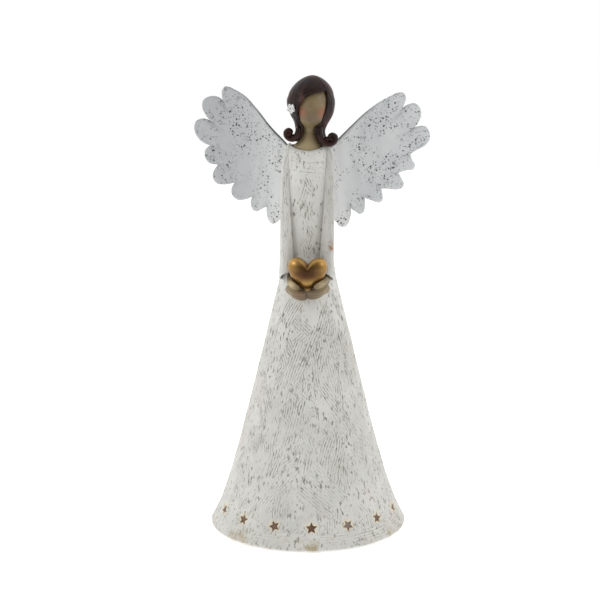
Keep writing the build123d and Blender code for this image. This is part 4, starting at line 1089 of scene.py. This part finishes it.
def heartBlock():
    # outline x = 16 (0.95 sin t to a power falling from 2.6 at the cleft, plus 0.05 sin t), z = 13 cos t - 5 cos 2t
    # - 2 cos 3t - cos 4t, shrunk towards a point under the cleft while the depth rises: outline times sin(p)^0.85,
    # depth times cos(p)
    t = np.linspace(0, 2 * math.pi, 200, endpoint=False)
    power = 2.6 - heart["full"] * (0.5 - 0.5 * np.cos(t))
    x = 16 * (0.95 * np.sign(np.sin(t)) * np.abs(np.sin(t)) ** power + 0.05 * np.sin(t))
    z = 13 * np.cos(t) - 5 * np.cos(2 * t) - 2 * np.cos(3 * t) - np.cos(4 * t)
    z = z + heart["cleft"] * 4 * np.exp(-((((t + math.pi) % (2 * math.pi)) - math.pi) / 0.30) ** 2)
    x, z = x * heart["width"] / 32, (z - z.max()) * heart["height"] / (z.max() - z.min())
    p = np.linspace(0, math.pi, 72)[:, None]
    size = np.sin(p) ** 0.85
    middle = -0.42 * heart["height"]
    y = heart["depth"] / 2 * np.sign(np.cos(p)) * np.abs(np.cos(p)) ** 0.9
    points = np.stack([heart["x"] + x * size, heart["y"] + y + 0 * x, heart["top"] + middle + (z - middle) * size], -1)
    # painted reflection: a dark middle on both faces stands in for the dim room reflected in the gold
    dark = np.exp(-((x * size / 12.0) ** 2 + (((z - middle) * size + 0.4) / 6.2) ** 2) ** 1.6)
    return block(points, flip=True, dark=dark)


def goldMaterial():
    material, tree, shader = newMaterial("heartGold", roughness=0.36, metallic=0.94, specular=0.4, coat=0.15,
                                         coatRoughness=0.16)
    colour = blend(tree, ramp(tree, noise(tree, 150, 4, 0.6), 0.35, 0.65), (0.43, 0.245, 0.072), (0.58, 0.350, 0.108))
    colour = blend(tree, ramp(tree, noise(tree, 60, 3), 0.50, 0.72, 0.0, 0.4), colour, (0.30, 0.115, 0.030))
    # painted reflection: dark brown in the middle
    colour = blend(tree, times(tree, attribute(tree, "dark"), 0.95), colour, (0.045, 0.014, 0.006))
    tree.links.new(colour, shader.inputs["Base Color"])
    bump(tree, shader, noise(tree, 900, 3), 0.18, 0.0001)
    return material


makePiece("goldHeart", [heartBlock()], goldMaterial(), ["heart"])

# cupped hands
hands = {
    "fingers": [  # points from the knuckle to the tip, and radii, for the hand on the right
        ([(12.2, -25.0, 167.6), (10.9, -30.6, 166.2), (6.6, -33.7, 164.9), (-0.3, -34.6, 164.5)],
         [1.5, 1.5, 1.45, 1.3]),
        ([(11.6, -24.6, 165.6), (10.1, -30.2, 164.1), (6.0, -33.3, 162.9), (-0.3, -34.1, 162.5)],
         [1.5, 1.4, 1.3, 1.2]),
        ([(10.8, -24.2, 164.2), (9.1, -29.4, 162.5), (5.6, -32.2, 161.5), (-0.2, -33.0, 161.2)],
         [1.5, 1.35, 1.25, 1.1]),
        ([(9.8, -23.8, 163.2), (8.2, -28.1, 161.5), (5.2, -30.6, 160.6), (1.1, -31.4, 160.4)],
         [1.4, 1.25, 1.15, 1.0]),
    ],
    "thumb": ([(11.6, -20.5, 171.0), (11.2, -26.4, 170.6), (8.9, -31.4, 169.4), (4.7, -34.0, 167.4)],
              [1.9, 2.0, 2.0, 1.7]),
    "palm": ((7.2, -24.5, 165.4), (7.2, 6.8, 4.4)),
    "wrist": ([(10.9, -12.5, 174.0), (10.8, -18.5, 169.8), (9.8, -23.0, 167.6)], [2.9, 3.2, 3.3]),
    "shift": 1.5,       # of both hands, towards the viewer's right
    "voxel": 0.34,
}


def handMesh(side, name, lift):
    # tubes and a palm, grown into one skin by a fine remesh and a few rounds of smoothing
    way = np.array([side, 1, 1])
    drop = np.array([hands["shift"], 0, lift])

    def sideways(points):
        return np.array(points, float) * way + drop

    limbs = [*hands["fingers"], hands["thumb"], hands["wrist"]]
    blocks = [tube(sideways(p), r, 22, 1.0, 40, (0, 0, 1.0)) for p, r in limbs]
    centre, half = hands["palm"]
    blocks.append(ellipsoidBlock(sideways([centre])[0], half))
    rough = makePiece(name + "Rough", blocks, skinHands, [], weld=True)
    remesh = rough.modifiers.new("skin", "REMESH")
    remesh.mode, remesh.voxel_size, remesh.use_smooth_shade = "VOXEL", hands["voxel"] / 1000, True
    smooth = rough.modifiers.new("soften", "SMOOTH")
    smooth.factor, smooth.iterations = 0.5, 5
    shape = bpy.data.meshes.new_from_object(rough.evaluated_get(bpy.context.evaluated_depsgraph_get()))
    bpy.data.objects.remove(rough)
    shape.name = name
    shape.materials.clear()
    shape.materials.append(skinHands)
    shape.shade_smooth()
    piece = bpy.data.objects.new(name, shape)
    bpy.context.scene.collection.objects.link(piece)
    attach(piece, "root")
    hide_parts("hand_left" if side < 0 else "hand_right")
    return piece


# a faint blush near the fingertips; painted light on both thumbs; painted shade on the lower fingers and under the
# heart between the hands
skinHands = skinMaterial("skinHands", [((-0.0035, -0.0345, 0.1640), 0.0060, 0.22)],
                         [((-0.0090, -0.0325, 0.1705), 0.0065, 1.0, (0.60, 0.48, 0.26)),
                          ((0.0105, -0.0325, 0.1710), 0.0060, 0.9, (0.46, 0.36, 0.20)),
                          ((0.0014, -0.0345, 0.1615), 0.0120, 0.8, (0.115, 0.078, 0.045)),
                          ((0.0014, -0.0310, 0.1675), 0.0050, 0.9, (0.075, 0.040, 0.020))])
handMesh(-1, "handOnLeft", -0.6)
handMesh(1, "handOnRight", 0.2)
print("hands made")

# star panes and the battery light
def plasticMaterial(name, dark, light, roughness, grain, depth):
    material, tree, shader = newMaterial(name, roughness=roughness, specular=0.45)
    colour = blend(tree, ramp(tree, noise(tree, 55, 4, 0.6), 0.3, 0.7), dark, light)
    tree.links.new(colour, shader.inputs["Base Color"])
    bump(tree, shader, noise(tree, grain, 3, 0.6), 0.3, depth)
    return material


def metalMaterial(name, dark, light, roughness, stretch):
    material, tree, shader = newMaterial(name, roughness=roughness, metallic=1.0)
    brushed = noise(tree, 900, 3, 0.6, where=places(tree, stretch))
    colour = blend(tree, ramp(tree, brushed, 0.3, 0.7), dark, light)
    tree.links.new(colour, shader.inputs["Base Color"])
    bump(tree, shader, brushed, 0.2, 0.00008)
    return material


def starMaterial():
    material, tree, shader = newMaterial("starAmber", roughness=0.22, specular=0.5, coat=0.3, coatRoughness=0.12)
    colour = blend(tree, ramp(tree, noise(tree, 210, 4, 0.6), 0.35, 0.65), (0.150, 0.082, 0.050), (0.215, 0.125, 0.078))
    tree.links.new(colour, shader.inputs["Base Color"])
    bump(tree, shader, noise(tree, 420, 2), 0.25, 0.0002)
    return material


def boardMaterial():
    # green varnish over copper lines: bands of a stretched pattern
    material, tree, shader = newMaterial("boardLaminate", roughness=0.32, specular=0.5, coat=0.25)
    lines = ramp(tree, spots(tree, 260, places(tree, (1, 0.25, 1)), 0.6), 0.42, 0.50)
    colour = blend(tree, lines, (0.010, 0.085, 0.030), (0.020, 0.150, 0.055))
    tree.links.new(colour, shader.inputs["Base Color"])
    bump(tree, shader, lines, 0.3, 0.00008)
    return material


def frostMaterial(name, dark, light, roughness, through):
    # milky plastic; through is the share of the light that passes under the surface
    material, tree, shader = newMaterial(name, roughness=roughness, specular=0.45)
    shader.inputs["Subsurface Weight"].default_value = through
    shader.inputs["Subsurface Scale"].default_value = 0.002
    colour = blend(tree, ramp(tree, noise(tree, 300, 3), 0.3, 0.7), dark, light)
    tree.links.new(colour, shader.inputs["Base Color"])
    bump(tree, shader, noise(tree, 1600, 2), 0.25, 0.00006)
    return material


def cellMaterial():
    # plain sleeve with a pale band near each end and bare steel at the ends
    material, tree, shader = newMaterial("cellSleeve", roughness=0.34, metallic=0.55, specular=0.5)
    along = sums(tree, "ABSOLUTE", axisOf(tree, "X"))
    colour = blend(tree, noise(tree, 160, 3), (0.045, 0.055, 0.075), (0.060, 0.070, 0.095))
    colour = blend(tree, ramp(tree, along, 0.0140, 0.0142), colour, (0.42, 0.29, 0.16))
    colour = blend(tree, ramp(tree, along, 0.0205, 0.0207), colour, (0.62, 0.62, 0.60))
    tree.links.new(colour, shader.inputs["Base Color"])
    bump(tree, shader, noise(tree, 700, 2), 0.15, 0.00006)
    return material


finishes = {
    "star_windows": starMaterial(),
    "base_plate": plasticMaterial("basePlastic", (0.018, 0.018, 0.019), (0.030, 0.030, 0.032), 0.55, 1500, 0.00018),
    "battery_door": plasticMaterial("doorPlastic", (0.018, 0.018, 0.019), (0.030, 0.030, 0.032), 0.50, 1500, 0.00018),
    "battery_tray": plasticMaterial("trayPlastic", (0.020, 0.020, 0.021), (0.034, 0.034, 0.036), 0.50, 1200, 0.00015),
    "foot_pads": plasticMaterial("padRubber", (0.012, 0.012, 0.012), (0.026, 0.026, 0.026), 0.88, 2600, 0.00035),
    "switch_body": plasticMaterial("switchPlastic", (0.010, 0.010, 0.010), (0.018, 0.018, 0.018), 0.40, 1800, 0.0001),
    "switch_knob": plasticMaterial("knobPlastic", (0.30, 0.30, 0.29), (0.38, 0.38, 0.37), 0.42, 1800, 0.0001),
    "switch_wires": plasticMaterial("wireSkin", (0.24, 0.012, 0.012), (0.32, 0.020, 0.018), 0.40, 900, 0.00008),
    "housing_screws": metalMaterial("screwZinc", (0.42, 0.42, 0.40), (0.66, 0.66, 0.63), 0.32, (1, 1, 0.1)),
    "contact_plates": metalMaterial("contactPlates", (0.50, 0.49, 0.46), (0.72, 0.71, 0.67), 0.28, (1, 0.2, 1)),
    "contact_springs": metalMaterial("contactSprings", (0.50, 0.49, 0.46), (0.72, 0.71, 0.67), 0.26, (1, 0.2, 1)),
    "batteries": cellMaterial(),
    "circuit_board": boardMaterial(),
    "leds": frostMaterial("ledLens", (0.80, 0.74, 0.55), (0.86, 0.80, 0.62), 0.12, 0.3),
    "diffuser_dome": frostMaterial("domeFrost", (0.74, 0.74, 0.70), (0.82, 0.82, 0.78), 0.55, 0.3),
}
for node, material in finishes.items():
    for place in nodes[node].material_slots:
        place.material = material
print("materials set on", len(finishes), "carried-over parts")

# pale floor, kept out of the part
floorSettings = {"rings": (0, 60, 120, 240, 480, 900, 1600), "columns": 96, "level": -0.02, "glow": 0.42}


def floorBlock():
    # flat rings from the middle outwards
    at = np.linspace(0, 2 * math.pi, floorSettings["columns"], endpoint=False)
    reach = np.array(floorSettings["rings"], float)[:, None]
    return block(np.stack([reach * np.cos(at), reach * np.sin(at), floorSettings["level"] + 0 * reach * at], -1))


floorPaint, floorTree, floorShader = newMaterial("floorPaint", roughness=0.9, specular=0.1)
floorColour = blend(floorTree, noise(floorTree, 3, 2), (0.90, 0.90, 0.90), (0.93, 0.93, 0.93))
floorTree.links.new(floorColour, floorShader.inputs["Base Color"])
floorShader.inputs["Emission Color"].default_value = (1.0, 1.0, 1.0, 1.0)
floorShader.inputs["Emission Strength"].default_value = floorSettings["glow"]
floorMesh = bpy.data.meshes.new("floor")
floorData = joined([floorBlock()])
floorFaces = [[n for i, n in enumerate(q) if n not in q[:i]] for q in floorData["quads"].tolist()]
floorMesh.from_pydata((floorData["points"] / 1000).tolist(), [], floorFaces)
floorMesh.materials.append(floorPaint)
floor = bpy.data.objects.new("floor", floorMesh)
bpy.context.scene.collection.objects.link(floor)
